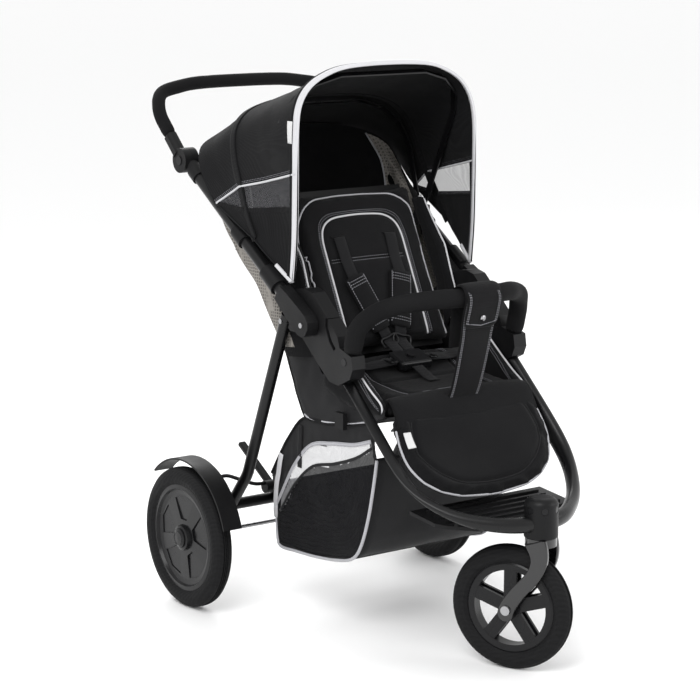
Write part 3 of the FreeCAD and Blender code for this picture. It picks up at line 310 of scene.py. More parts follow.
def dashes(name, lines, mat=None, body=None, length=0.0026, gap=0.0019, r=0.00045):
    """Rows of stitches. lines is a list of (points, normals)."""
    V_, F_ = [], []
    for pts, nrm in lines:
        acc, pos = 0.0, []
        for i in range(len(pts) - 1):
            d = (pts[i + 1] - pts[i]).length
            while acc <= d:
                t = acc / max(d, 1e-9)
                pos.append((pts[i].lerp(pts[i + 1], t), (pts[i + 1] - pts[i]).normalized(), nrm[i]))
                acc += length + gap
            acc -= d
        for p, tan, u in pos:
            u = (u - tan * u.dot(tan))
            if u.length < 1e-6:
                continue
            u.normalize()
            s = tan.cross(u)
            b0 = len(V_)
            for q, sc in ((-0.5, 0.4), (-0.3, 1.0), (0.3, 1.0), (0.5, 0.4)):
                for j in range(5):
                    a = 2 * math.pi * j / 5
                    V_.append(p + tan * (q * length) + s * (r * 1.25 * sc * math.cos(a)) + u * (r * sc * math.sin(a)))
            for q in range(3):
                for j in range(5):
                    F_.append((b0 + q * 5 + j, b0 + (q + 1) * 5 + j, b0 + (q + 1) * 5 + (j + 1) % 5, b0 + q * 5 + (j + 1) % 5))
            F_.append(tuple(b0 + j for j in reversed(range(5))))
            F_.append(tuple(b0 + 15 + j for j in range(5)))
    return add(name, V_, F_, mat or thread, body)


def relax(q, times=6):
    for _ in range(times):
        q = [q[0]] + [(a + b * 2 + c) / 4 for a, b, c in zip(q, q[1:], q[2:])] + [q[-1]]
    return q


def bvh_of(ob):
    me = ob.data
    return BVHTree.FromPolygons([v.co.copy() for v in me.vertices], [tuple(p.vertices) for p in me.polygons])


def snap(pts, bvh, lift=0.0, ray=None):
    """Points laid on the surface (nearest point, or first hit along ray), with its normals."""
    out, nrm = [], []
    for p in pts:
        h = None
        if ray is not None:
            h = bvh.ray_cast(p - ray * 0.15, ray, 0.4)
        if h is None or h[0] is None:
            h = bvh.find_nearest(p)
        n = h[1]
        if ray is not None and n.dot(ray) > 0:
            n = -n
        out.append(h[0] + n * lift)
        nrm.append(n)
    return out, nrm


def apply_mods(ob):
    dg = bpy.context.evaluated_depsgraph_get()
    me = bpy.data.meshes.new_from_object(ob.evaluated_get(dg))
    ob.modifiers.clear()
    old = ob.data
    ob.data = me
    bpy.data.meshes.remove(old)


def smooth_mesh(ob, times, factor=0.5):
    m = ob.modifiers.new("s", "SMOOTH")
    m.iterations = times
    m.factor = factor
    apply_mods(ob)


def stuffed(name, node_names, mat, body, voxel=0.005, cap=0.010, smooth=6, keep=None, sim=True):
    """Soft piece grown from CAD nodes: remeshed, blown up by a short cloth run, then rounded."""
    bm = bmesh.new()
    for n in node_names:
        bm.from_mesh(N[n].data)
    me = bpy.data.meshes.new(name)
    bm.to_mesh(me)
    bm.free()
    me.materials.clear()
    me.materials.append(mat)
    ob = bpy.data.objects.new(name, me)
    bpy.context.collection.objects.link(ob)
    r = ob.modifiers.new("r", "REMESH")
    r.mode = "VOXEL"
    r.voxel_size = voxel
    apply_mods(ob)
    smooth_mesh(ob, smooth)
    if sim:
        n = len(ob.data.vertices)
        before = np.empty(n * 3)
        ob.data.vertices.foreach_get("co", before)
        c = ob.modifiers.new("c", "CLOTH")
        s = c.settings
        s.quality = 4
        s.mass = 0.3
        s.tension_stiffness = s.compression_stiffness = 12
        s.shear_stiffness = 6
        s.bending_stiffness = 0.4
        s.use_pressure = True
        s.uniform_pressure_force = 4
        s.effector_weights.gravity = 0
        c.collision_settings.use_collision = False
        c.point_cache.frame_start, c.point_cache.frame_end = 1, 20
        for f in range(1, 21):
            bpy.context.scene.frame_set(f)
        ev = ob.evaluated_get(bpy.context.evaluated_depsgraph_get())
        after = np.empty(n * 3)
        ev.data.vertices.foreach_get("co", after)
        ob.modifiers.clear()
        bpy.context.scene.frame_set(1)
        d = (after - before).reshape(-1, 3)
        ln = np.linalg.norm(d, axis=1)
        d *= (np.minimum(ln, cap) / np.maximum(ln, 1e-9))[:, None]
        ob.data.vertices.foreach_set("co", (before.reshape(-1, 3) + d).ravel())
        smooth_mesh(ob, 3)
    sub = ob.modifiers.new("u", "SUBSURF")
    sub.levels = sub.render_levels = 1
    apply_mods(ob)
    ob.data.materials.clear()
    ob.data.materials.append(mat)
    ob.data.polygons.foreach_set("use_smooth", [True] * len(ob.data.polygons))
    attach(ob, body)
    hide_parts(*node_names)
    return ob


def groove(ob, lines, depth=0.003, width=0.006, face=None):
    """Presses sewn channels into a soft piece along lines; face limits them to one side."""
    pts = [p for line in lines for p in line]
    kd = KDTree(len(pts))
    for i, p in enumerate(pts):
        kd.insert(p, i)
    kd.balance()
    nrm = [v.normal.copy() for v in ob.data.vertices]
    for v, n in zip(ob.data.vertices, nrm):
        if face is not None and n.dot(face) < 0.2:
            continue
        d = kd.find(v.co)[2]
        if d < width * 2.5:
            v.co -= n * depth * math.exp(-(d / width) ** 2)
    ob.data.update()


def crown(ob, fn):
    nrm = [v.normal.copy() for v in ob.data.vertices]
    for v, n in zip(ob.data.vertices, nrm):
        v.co += fn(v.co, n)
    ob.data.update()


def tag(name, at, right, down, w, h, mat, body):
    """Blank sewn label, slightly curled."""
    right, down = right.normalized(), down.normalized()
    n = right.cross(down)
    V_, F_ = [], []
    nu, nv = 8, 10
    for side in (0, 1):
        for j in range(nv + 1):
            for i in range(nu + 1):
                a, b = i / nu - 0.5, j / nv
                V_.append(at + right * (a * w) + down * (b * h) + n * (0.0007 * side + 0.0012 * math.sin(b * 2.6 + a)))
    m = (nu + 1) * (nv + 1)
    for j in range(nv):
        for i in range(nu):
            q = j * (nu + 1) + i
            F_.append((q, q + 1, q + nu + 2, q + nu + 1))
            F_.append((m + q + nu + 1, m + q + nu + 2, m + q + 1, m + q))
    edge = [i for i in range(nu)] + [j * (nu + 1) + nu for j in range(nv)] + [nv * (nu + 1) + i for i in range(nu, 0, -1)] + [j * (nu + 1) for j in range(nv, 0, -1)]
    for i, q in enumerate(edge):
        r_ = edge[(i + 1) % len(edge)]
        F_.append((q, m + q, m + r_, r_))
    return add(name, V_, F_, mat, body)


# ------------------------------------------------------------------ canopy
RIM = [(-207.8, -230, 654), (-207.0, -238, 730), (-206.5, -241, 840), (-205, -241, 930), (-196, -238, 975), (-174, -236, 1006), (-138, -236, 1027), (-90, -238, 1040), (0, -240, 1044)]
MID = [(-226.5, -136, 722), (-224, -104, 765), (-219, -72, 820), (-213, -46, 870), (-203, -32, 912), (-180, -26, 940), (-142, -22, 957), (-92, -20, 966), (0, -20, 969)]
REAR = [(-233, -22, 776), (-233, 2, 792), (-232.8, 24, 812), (-231, 42, 834), (-224, 60, 858), (-200, 84, 878), (-154, 104, 892), (-96, 114, 900), (0, 118, 903)]


def mirrored(sec):
    return sec + [(-x, y, z) for x, y, z in reversed(sec[:-1])]


class Section:
    def __init__(self, sec):
        self.p = curve(AL(mirrored(sec)), 0.002)
        d = [0.0]
        for a, b in zip(self.p, self.p[1:]):
            d.append(d[-1] + (b - a).length)
        self.d = [x / d[-1] for x in d]

    def at(self, u):
        u = min(max(u, 0.0), 1.0)
        lo, hi = 0, len(self.d) - 1
        while hi - lo > 1:
            m = (lo + hi) // 2
            if self.d[m] <= u:
                lo = m
            else:
                hi = m
        t = (u - self.d[lo]) / max(self.d[hi] - self.d[lo], 1e-9)
        return self.p[lo].lerp(self.p[hi], t)

    def u_of_z(self, z):
        for u, p in zip(self.d, self.p):
            if p.z >= z / 1000:
                return u
        return 0.5


def columns(ua, ub, n1=8, n2=12, n3=60):
    """u values: lower strip, window, top, and their mirror images."""
    left = [ua * i / n1 for i in range(n1)] + [ua + (ub - ua) * i / n2 for i in range(n2)]
    mid = [ub + (1 - 2 * ub) * i / n3 for i in range(n3 + 1)]
    return left + mid + [1 - u for u in reversed(left)]


def cloth_grid(name, s0, s1, w0, w1, nv, sag, v_window, mats, wrinkle):
    """Sheet between sections s0 and s1; w0, w1 are (lower, upper) heights of the window at each."""
    c0 = columns(s0.u_of_z(w0[0]), s0.u_of_z(w0[1]))
    c1 = columns(s1.u_of_z(w1[0]), s1.u_of_z(w1[1]))
    nu = len(c0)
    mid = (A(0, -110, 780) + A(0, -110, 780)) / 2
    V_ = []
    for j in range(nv + 1):
        v = j / nv
        for i in range(nu):
            a, b = s0.at(c0[i]), s1.at(c1[i])
            p = a.lerp(b, v)
            u = c0[i] + (c1[i] - c0[i]) * v
            inward = (Vector((0, p.y, mid.z)) - p)
            inward = inward.normalized() if inward.length > 1e-6 else Vector((0, 0, -1))
            bend = math.sin(math.pi * v)
            edge = min(1.0, 6 * min(u, 1 - u))
            w = wrinkle * bend * (noise.noise(Vector((u * 26, v * 2.2, 1.3))) + 0.6 * noise.noise(Vector((u * 9 + v * 3, v * 4, 7.7))))
            V_.append(p + inward * (sag * bend * edge + w))
    F_, M_ = [], []
    for j in range(nv):
        for i in range(nu - 1):
            q = j * nu + i
            F_.append((q, q + 1, q + nu + 1, q + nu))
            vi = (j + 0.5) / nv
            k = min(i, nu - 2 - i)
            M_.append(1 if 8 <= k < 20 and v_window[0] < vi < v_window[1] else 0)
    ob = add(name, V_, F_, mats[0], face_mats=M_, mats=mats)
    grid = [[V_[j * nu + i] for i in range(nu)] for j in range(nv + 1)]
    return ob, grid


def area(ob):
    return sum(p.area for p in ob.data.polygons)


def declare(ob, flat=None):
    a = area(ob)
    if flat is None:
        l_ = max(ob.dimensions) * 1.6
        flat = (a / l_ * 1.25, l_)
    k = math.sqrt(a * 1.02 / (flat[0] * flat[1])) if a > flat[0] * flat[1] else 1.0
    flat = (flat[0] * k, flat[1] * k)


sr, sm, sf = Section(REAR), Section(MID), Section(RIM)
front_cloth, FG = cloth_grid("canopy_front_cloth", sm, sf, (770, 812), (786, 850), 40, 0.004, (0.07, 0.90), [canop, wind], 0.0022)
rear_cloth, RG = cloth_grid("canopy_rear_cloth", sr, sm, (776.5, 778), (770, 812), 26, 0.002, (0.06, 0.94), [canop, wind], 0.0016)
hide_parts("canopy_front_panel")
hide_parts("canopy_rear_panel")


def out_normals(pts):
    c = A(0, -110, 790)
    return [(Vector((p.x, (p.y - c.y) * 0.5, p.z - c.z))).normalized() for p in pts]


nu_ = len(FG[0])
canopy_bits_f, canopy_bits_r = [], []
for tag_, grid, bits, nm in (("front", FG, canopy_bits_f, "f"), ("rear", RG, canopy_bits_r, "r")):
    for side, col in (("right", 20), ("left", nu_ - 21)):
        line = [row[col] for row in grid]
        nn = out_normals(line)
        line = [p + n * 0.0012 for p, n in zip(line, nn)]
        bits.append(tube("canopy_piping_%s_%s" % (tag_, side), line, 0.0021, white))
        rows = []
        for off in (0.0055, 0.0085):
            c2 = col + 1 if side == "right" else col - 1
            l2 = [row[col] + (row[c2] - row[col]).normalized() * off for row in grid]
            n2 = out_normals(l2)
            rows.append(([p + n * 0.0004 for p, n in zip(l2, n2)], n2))
        bits.append(dashes("canopy_stitches_%s_%s" % (tag_, side), rows))
    # dark lower hem rolled round the window
    for side, col in (("right", 8), ("left", nu_ - 9)):
        line = [row[col] for row in grid]
        nn = out_normals(line)
        bits.append(strap("canopy_window_hem_%s_%s" % (tag_, side), line, nn, 0.010, 0.0012, canop))
    for side, col in (("right", 0), ("left", nu_ - 1)):
        line = [row[col] for row in grid]
        bits.append(tube("canopy_lower_hem_%s_%s" % (tag_, side), line, 0.0022, canop))
# white binding folded over the front edge
rim_line = FG[-1][0::1]
rim_line = curve([rim_line[i] for i in range(0, len(rim_line), 2)], 0.006)
rim_n = out_normals(rim_line)
fwd = Vector((0, -1, 0.15)).normalized()
bind = [p + fwd * -0.004 + n * 0.0006 for p, n in zip(rim_line, rim_n)]
prof = [(-0.0028, 0.0), (-0.0031, 0.0010), (-0.001, 0.0017), (0.004, 0.0018), (0.0066, 0.0011), (0.0072, -0.0010), (0.0062, -0.0030), (0.002, -0.0040), (0.001, -0.0028), (0.004, -0.0012)]
v_, f_ = sweep(bind, prof, rim_n)
# the broad face of the binding shows on the outside, its rolled lip in front
rim_bind = add("canopy_rim_binding", v_, f_, white)
canopy_bits_f.append(rim_bind)
lip = [p + fwd * 0.0030 - n * 0.0026 for p, n in zip(rim_line, rim_n)]
canopy_bits_f.append(strap("canopy_rim_lip", lip, [fwd] * len(lip), 0.0062, 0.0024, white))
for k_, off in (("a", 0.0085), ("b", 0.0105)):
    l2 = [p - fwd * off + n * 0.0005 for p, n in zip(rim_line, rim_n)]
    canopy_bits_f.append(dashes("canopy_rim_stitches_" + k_, [(l2, rim_n)]))
for side, ci in (("right", 0), ("left", nu_ - 1)):
    canopy_bits_f.append(tube("canopy_corner_binding_" + side, relax([row[ci] for row in FG[24:]], 3), 0.0042, white))
# bow sleeves: the cloth channel round each bow
for nm, grid, row, bits in (("front", FG, -2, canopy_bits_f), ("mid", RG, -1, canopy_bits_r)):
    line = grid[row]
    line = curve([line[i] for i in range(0, len(line), 2)], 0.008)
    nn = out_normals(line)
    bits.append(strap("canopy_sleeve_" + nm, [p - n * 0.0012 for p, n in zip(line, nn)], nn, 0.020, 0.0024, canop))
tg = sf.at(sf.u_of_z(944))
label = tag("canopy_blank_label", tg + Vector((-0.0050, 0.012, 0)), Vector((0, 1, 0)), Vector((0, 0, -1)), 0.014, 0.040, tagm, None)
canopy_bits_f.append(label)
for o in [front_cloth] + canopy_bits_f:
    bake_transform(o)
for o in [rear_cloth] + canopy_bits_r:
    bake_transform(o)
declare(front_cloth)
declare(rear_cloth)

# ------------------------------------------------------------------ seat back shell: cloth between the canopy and the seat, with mesh sides
SH = [
    [(-166, -238, 512), (-172, -214, 508), (-176, -180, 504), (-158, -158, 500), (0, -150, 498)],
    [(-170, -205, 590), (-182, -172, 588), (-190, -136, 588), (-172, -110, 588), (0, -98, 588)],
    [(-172, -164, 670), (-188, -112, 672), (-195, -54, 676), (-180, -26, 682), (0, -10, 690)],
    [(-171, -134, 724), (-192, -82, 730), (-198, -4, 738), (-184, 24, 748), (0, 40, 756)],
    [(-172, -104, 772), (-197, -56, 768), (-200.5, -12, 786), (-190, 52, 826), (0, 84, 846)],
    [(x * 0.985, y, z - 3) for x, y, z in REAR],
    [(x * 0.975 + m_ * 0, y * 0.88 + w_ * 0.12, z * 0.88 + m_ * 0.12 - 5) for (x, y, z), (_, w_, m_) in zip(REAR, MID)],
]


def shell_grid(secs, nu, nv):
    half = [curve(AL(s), 0.004) for s in secs]

    def along(line, t):
        d = [0.0]
        for a, b in zip(line, line[1:]):
            d.append(d[-1] + (b - a).length)
        x = t * d[-1]
        for i in range(len(line) - 1):
            if d[i + 1] >= x:
                return line[i].lerp(line[i + 1], (x - d[i]) / max(d[i + 1] - d[i], 1e-9))
        return line[-1]
    cols = []
    for i in range(nu + 1):
        c = curve([along(h, i / nu) for h in half], 0.004)
        cols.append([along(c, j / nv) for j in range(nv + 1)])
    full = cols + [[Vector((-p.x, p.y, p.z)) for p in c] for c in reversed(cols[:-1])]
    return full


cols = shell_grid(SH, 26, 44)
nc, nr = len(cols), len(cols[0])
V_ = []
for i, c in enumerate(cols):
    for j, p in enumerate(c):
        e = math.sin(math.pi * j / (nr - 1)) * math.sin(math.pi * i / (nc - 1))
        V_.append(p + Vector((0, 0.0025 * e * noise.noise(Vector((i * 0.35, j * 0.12, 0))), 0)))
F_, M_ = [], []
for i in range(nc - 1):
    for j in range(nr - 1):
        F_.append((i * nr + j, i * nr + j + 1, (i + 1) * nr + j + 1, (i + 1) * nr + j))
        k = min(i, nc - 2 - i)
        M_.append(1 if 4 <= k < 12 and 2 <= j < 42 else 0)
back_shell = add("seat_back_shell", V_, F_, None, face_mats=M_, mats=[cloth, honey])
bits = []
for side, ci in (("right", 12), ("left", nc - 13)):
    line = curve(cols[ci][::3], 0.006)
    bits.append(tube("back_shell_piping_" + side, line, 0.0019, silver))
for side, ci in (("right", 0), ("left", nc - 1)):
    line = curve(cols[ci][::3], 0.006)
    bits.append(tube("back_shell_hem_" + side, line, 0.0026, cloth))
seam = curve([c[22] for c in cols[10:-10]][::3], 0.008)
bits.append(tube("back_shell_seam", seam, 0.0013, cloth))
for o in [back_shell] + bits:
    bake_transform(o)
declare(back_shell)

def gusset():
    """Black cloth between each wing of the seat and the push tube beside it."""
    inner = curve(AL([(167, -232, 606), (168, -204, 668), (168, -165, 728), (168, -122, 778)]), 0.006)
    k = len(inner)
    outer = [A(203.5, -222 + 138 * i / (k - 1), 583 + (285 - 222 + 138 * i / (k - 1)) * 0.6526) for i in range(k)]
    for side, nm in ((-1, "right"), (1, "left")):
        V_, F_ = [], []
        for i in range(k):
            for j in range(9):
                p = inner[i].lerp(outer[i], j / 8)
                p.y += 0.006 * math.sin(math.pi * j / 8) + 0.0012 * noise.noise(Vector((i * 0.4, j * 0.5, side)))
                V_.append(Vector((p.x * side, p.y, p.z)))
        for i in range(k - 1):
            for j in range(8):
                F_.append((i * 9 + j, i * 9 + j + 1, (i + 1) * 9 + j + 1, (i + 1) * 9 + j))
        g = add("seat_side_gusset_" + nm, V_, F_, cloth)
        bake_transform(g)
        declare(g, flat=(0.07, 0.19))


gusset()

# ------------------------------------------------------------------ backrest
RL, RN = Vector((0, 0.44, 0.898)).normalized(), Vector((0, -0.898, 0.44)).normalized()
BO = A(0, -240, 506)


def BK(x, s, w):
    return BO + Vector((x / 1000, 0, 0)) + RL * (s / 1000) + RN * (w / 1000)


back = stuffed("backrest_pad", ["backrest_cushion"], cloth, "backrest", cap=0.009)


def oval(hx, s0, s1, w=20, k=3.2, n=44):
    out = []
    for i in range(n):
        a = 2 * math.pi * i / n
        c, s = math.cos(a), math.sin(a)
        out.append(BK(hx * math.copysign(abs(c) ** (2 / k), c), (s0 + s1) / 2 + (s1 - s0) / 2 * math.copysign(abs(s) ** (2 / k), s), w))
    return curve(out, 0.004, closed=True)


# crown the middle insert a little, dish the back toward the child
crown(back, lambda p, n: RN * (0.006 * max(0.0, 1 - (p.x / 0.09) ** 2) * max(0.0, math.sin(math.pi * min(1, max(0, (p - BO).dot(RL) / 0.27)))) if n.dot(RN) > 0.3 else 0.0))


def arch(hx, s1, w=20):
    """Open arch from the foot of the back up and over, in back coordinates."""
    h = [(-hx, 18), (-hx, 60), (-hx, 120), (-hx, 180), (-hx + 1, 222), (-hx + 9, s1 - 18), (-hx + 26, s1 - 5), (-hx + 48, s1), (0, s1 + 2)]
    return curve([BK(x, s_, w) for x, s_ in h + [(-x, s_) for x, s_ in reversed(h[:-1])]], 0.004)


ins = arch(92, 262)
seam_s = [BK(x, 176, 20) for x in range(-84, 85, 4)]
outer = [BK(x, s, 20) for x, s in ((-138, 14), (-140, 90), (-138, 200), (-130, 262), (-104, 292), (-60, 304), (0, 307), (60, 304), (104, 292), (130, 262), (138, 200), (140, 90), (138, 14))]
outer_c = curve(outer, 0.004)
bv = bvh_of(back)
pi_, _ = snap(ins, bv, 0, -RN)
po_, _ = snap(outer_c, bv, 0, -RN)
ps_, _ = snap(seam_s, bv, 0, -RN)
groove(back, [pi_, ps_], 0.0042, 0.006, RN)
groove(back, [po_], 0.0022, 0.005, RN)
bv = bvh_of(back)
p1, n1 = snap(ins, bv, 0.0012, -RN)
tube("back_insert_piping", relax(p1, 4), 0.0019, white, "backrest")
p1, n1 = snap(outer_c, bv, 0.0010, -RN)
tube("back_outer_piping", p1, 0.0016, silver, "backrest")
rows = []
for d in (5, 8):
    q, qn = snap(arch(92 + d, 262 + d), bv, 0.0003, -RN)
    rows.append((q, qn))
for d in (-3, 3):
    q, qn = snap([BK(x, 176 + d, 20) for x in range(-82, 83, 3)], bv, 0.0003, -RN)
    rows.append((q, qn))
dashes("back_insert_stitches", rows, body="backrest")

wings = stuffed("backrest_wing_pads", ["backrest_wings"], cloth, "backrest", voxel=0.0045, cap=0.005)
bw = bvh_of(wings)
for side in (-1, 1):
    pts = [BK(side * 167, s, w) for s, w in ((34, 10), (52, 22), (86, 44), (130, 49), (180, 52), (236, 39), (286, 27), (298, 12))]
    q, qn = snap(curve(pts, 0.004), bw, 0.0008)
    tube("wing_piping_" + ("right" if side < 0 else "left"), relax(q, 12), 0.0017, white, "backrest")
    lines = []
    for d in (7,):
        pts = [BK(side * 172, s, w) for s, w in ((44, 6), (62, 16), (90, 36), (130, 41), (180, 44), (232, 32), (276, 20))]
        q, qn = snap(curve(pts, 0.004), bw, 0.0003, Vector((-side, 0, 0)))
        lines.append((q, qn))
    dashes("wing_stitches_" + ("right" if side < 0 else "left"), lines, body="backrest")

# shoulder pads and harness webbing
def slab(name, line, widths, thick, mat, body, puff=0.0, nx=16, across=None, ups=None):
    """Padded band of varying width with rounded edges, closed."""
    n = len(line)
    V_, F_ = [], []
    for i, p in enumerate(line):
        a, b = line[max(0, i - 1)], line[min(n - 1, i + 1)]
        tan = (b - a).normalized()
        if ups is None:
            nn = Vector((1, 0, 0)).cross(tan).normalized()
            ac = Vector((1, 0, 0))
        else:
            nn = (ups[i] - tan * ups[i].dot(tan)).normalized()
            ac = tan.cross(nn)
        t = i / (n - 1)
        w = np.interp(t, [x[0] for x in widths], [x[1] for x in widths])
        for side in (1, -1):
            for k in range(nx + 1):
                f = (k / nx * 2 - 1) * side
                h = thick / 2 * math.sqrt(max(0.0, 1 - abs(f) ** 5)) + puff * (1 - f * f) * 0.5
                V_.append(p + ac * (f * w) + nn * h * side)
    k2 = 2 * (nx + 1)
    for i in range(n - 1):
        for k in range(k2):
            F_.append((i * k2 + k, (i + 1) * k2 + k, (i + 1) * k2 + (k + 1) % k2, i * k2 + (k + 1) % k2))
    F_.append(tuple(range(k2)))
    F_.append(tuple(reversed(range((n - 1) * k2, n * k2))))
    return add(name, V_, F_, mat, body)


for side in (-1, 1):
    nm = "right" if side < 0 else "left"
    top, end = (side * 54, 140), (side * 21, 34)
    path = [BK(top[0] + (end[0] - top[0]) * t, top[1] + (end[1] - top[1]) * t, 40) for t in np.linspace(0, 1, 24)]
    q, qn = snap(path, bv, 0.0068, -RN)
    q = relax(q, 8)
    qn = [RN] * len(q)
    o = slab("shoulder_pad_" + nm, q, [(0, 0.0215), (0.06, 0.0245), (0.9, 0.0240), (1, 0.0205)], 0.0090, cloth, "backrest", puff=0.004, ups=qn)
    bp_ = bvh_of(o)
    tn = (q[-1] - q[0]).normalized()
    ax = tn.cross(RN).normalized()
    rows = []
    for t in (0.07, 0.12, 0.17, 0.84, 0.89):
        c = q[0].lerp(q[-1], t)
        rows.append(snap([c + ax * (d / 1000) + RN * 0.02 for d in range(-20, 21, 2)], bp_, 0.0004, -RN))
    for d in (-20.5, 20.5):
        rows.append(snap([q[0].lerp(q[-1], t) + ax * (d / 1000) + RN * 0.02 for t in np.linspace(0.05, 0.95, 30)], bp_, 0.0003, -RN))
    dashes("shoulder_pad_stitches_" + nm, rows, body="backrest", length=0.0030, r=0.0006)
    up_ = [BK(top[0] + side * 5 * t, top[1] + 80 * t, 40) for t in np.linspace(-0.15, 1, 16)]
    a_, an = snap(up_, bv, 0.0030, -RN)
    a_ = [p + RN * (0.005 * max(0, 1 - i / 4)) for i, p in enumerate(a_)]
    strap("shoulder_webbing_upper_" + nm, relax(a_), [RN] * len(a_), 0.025, 0.0016, web, "backrest")
    dn = curve([q[-1] - tn * 0.010, q[-1] + tn * 0.006 + RN * 0.002, BK(side * 14, 8, 34), A(side * 13, -296, 512)], 0.004)
    strap("shoulder_webbing_lower_" + nm, dn, [RN] * len(dn), 0.025, 0.0016, web, "backrest")
    slot_c = BK(top[0] + side * 5, top[1] + 82, 40)
    q2, _n = snap([slot_c + Vector((d / 1000, 0, 0)) for d in range(-16, 17, 2)], bv, 0.0002, -RN)
    tube("webbing_slot_" + nm, q2, 0.0022, cloth, "backrest")
    c = dn[len(dn) // 2]
    ring = [c + ax * (dx * 0.017) + tn * (dz * 0.008) + RN * 0.0030 for dx, dz in ((-1, -1), (0, -1), (1, -1), (1, 1), (0, 1), (-1, 1))]
    tube("webbing_slide_" + nm, curve(ring, 0.003, closed=True), 0.0021, gloss, "backrest", closed=True)
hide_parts("shoulder_pads")

# ------------------------------------------------------------------ seat
seat = stuffed("seat_pad", ["seat_cushion"], cloth, "front_frame", cap=0.009)
UP = Vector((0, -0.25, 0.97)).normalized()
sv_ = bvh_of(seat)
ring = [A(x, y, 520) for x, y in ((-92, -276), (-96, -330), (-94, -400), (-80, -436), (0, -444), (80, -436), (94, -400), (96, -330), (92, -276), (60, -268), (0, -266), (-60, -268))]
ring_c = curve(ring, 0.004, closed=True)
q, _ = snap(ring_c, sv_, 0, Vector((0, 0, -1)))
cross = [snap([A(x, yy, 520) for x in range(-88, 89, 4)], sv_, 0, Vector((0, 0, -1)))[0] for yy in (-352,)]
groove(seat, [q] + cross, 0.0040, 0.006, Vector((0, 0, 1)))
sv_ = bvh_of(seat)
q, qn = snap(ring_c, sv_, 0.0010, Vector((0, 0, -1)))
tube("seat_insert_piping", q, 0.0015, cloth, "front_frame", closed=True)
rows = []
for sc in (1.05, 1.08):
    c0_ = A(0, -355, 520)
    q, qn = snap([c0_ + Vector(((p.x - c0_.x) * sc, (p.y - c0_.y) * sc, 0)) for p in ring_c], sv_, 0.0003, Vector((0, 0, -1)))
    rows.append((q + q[:1], qn + qn[:1]))
dashes("seat_insert_stitches", rows, body="front_frame")
sides = stuffed("seat_side_pads", ["seat_side_panels"], cloth, "front_frame", voxel=0.0045, cap=0.005)
bs_ = bvh_of(sides)
for side in (-1, 1):
    nm = "right" if side < 0 else "left"
    pts = [A(side * 165, y, z) for y, z in ((-292, 566), (-302, 570), (-345, 538), (-400, 496), (-452, 456), (-454, 440))]
    q, qn = snap(curve(pts, 0.004), bs_, 0.0008)
    tube("side_piping_" + nm, relax(q, 8), 0.0018, white, "front_frame")
    lines = []
    for dz in (-9, -12):
        pts = [A(side * 175, y, z + dz) for y, z in ((-306, 562), (-345, 534), (-400, 492), (-444, 458))]
        q, qn = snap(curve(pts, 0.004), bs_, 0.0003, Vector((-side, 0, 0)))
        lines.append((q, qn))
        pts = [A(side * 145, y, z + dz) for y, z in ((-306, 562), (-345, 534), (-400, 492), (-444, 458))]
        q, qn = snap(curve(pts, 0.004), bs_, 0.0003, Vector((side, 0, 0)))
        lines.append((q, qn))
    dashes("side_stitches_" + nm, lines, body="front_frame")

# lap straps run from beside the seat to the buckle
lap_lo, lap_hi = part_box("lap_straps")
for side in (-1, 1):
    nm = "right" if side < 0 else "left"
    ctr = [A(side * x, y, z) for x, y, z in ((140, -286, 500), (124, -296, 494), (100, -304, 494), (74, -309, 497), (52, -312, 499), (37, -313, 500))]
    line = curve(ctr, 0.004)
    q, qn = snap(line, sv_, 0.0)
    nn = [Vector((0, -0.35, 0.94)).normalized()] * len(line)
    line = [Vector((p.x, p.y, max(p.z, s_.z + 0.003))) for p, s_ in zip(line, q)]
    strap("lap_webbing_" + nm, relax(line), nn, 0.025, 0.0018, web, "front_frame")
    ring = [A(side * 46, -312, 502) + Vector((dx * 0.006, dy * 0.016, 0)) for dx, dy in ((-1, -1), (1, -1), (1, 0), (1, 1), (-1, 1), (-1, 0))]
    tube("lap_ring_" + nm, curve(ring, 0.003, closed=True), 0.0020, gloss, "front_frame", closed=True)
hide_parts("lap_straps")
# webbing from the seat up to the buckle
line = curve(AL([(0, -388, 462), (0, -370, 474), (0, -350, 484), (0, -334, 490)]), 0.004)
q, qn = snap(line, sv_, 0.0)
line = [Vector((p.x, p.y, max(p.z, s_.z + 0.002))) for p, s_ in zip(line, q)]
strap("crotch_webbing", relax(line), [Vector((0, -0.6, 0.8)).normalized()] * len(line), 0.025, 0.0018, web, "front_frame")

# cloth under the seat: side walls and floor of the seat's sling
UPR = [(-170, 560), (-232, 520), (-262, 484), (-300, 474), (-345, 458), (-400, 447), (-440, 450), (-456, 450)]
LOW = [(-126, 536), (-160, 474), (-196, 404), (-226, 388), (-300, 394), (-360, 404), (-420, 420), (-458, 436)]


def pts_along(pts, n):
    c = curve([Vector((0, y, z)) for y, z in pts], 2.0)
    d = [0.0]
    for a, b in zip(c, c[1:]):
        d.append(d[-1] + (b - a).length)
    out = []
    for i in range(n + 1):
        x = d[-1] * i / n
        k = 0
        while k < len(d) - 2 and d[k + 1] < x:
            k += 1
        out.append(c[k].lerp(c[k + 1], (x - d[k]) / max(d[k + 1] - d[k], 1e-9)))
    return out


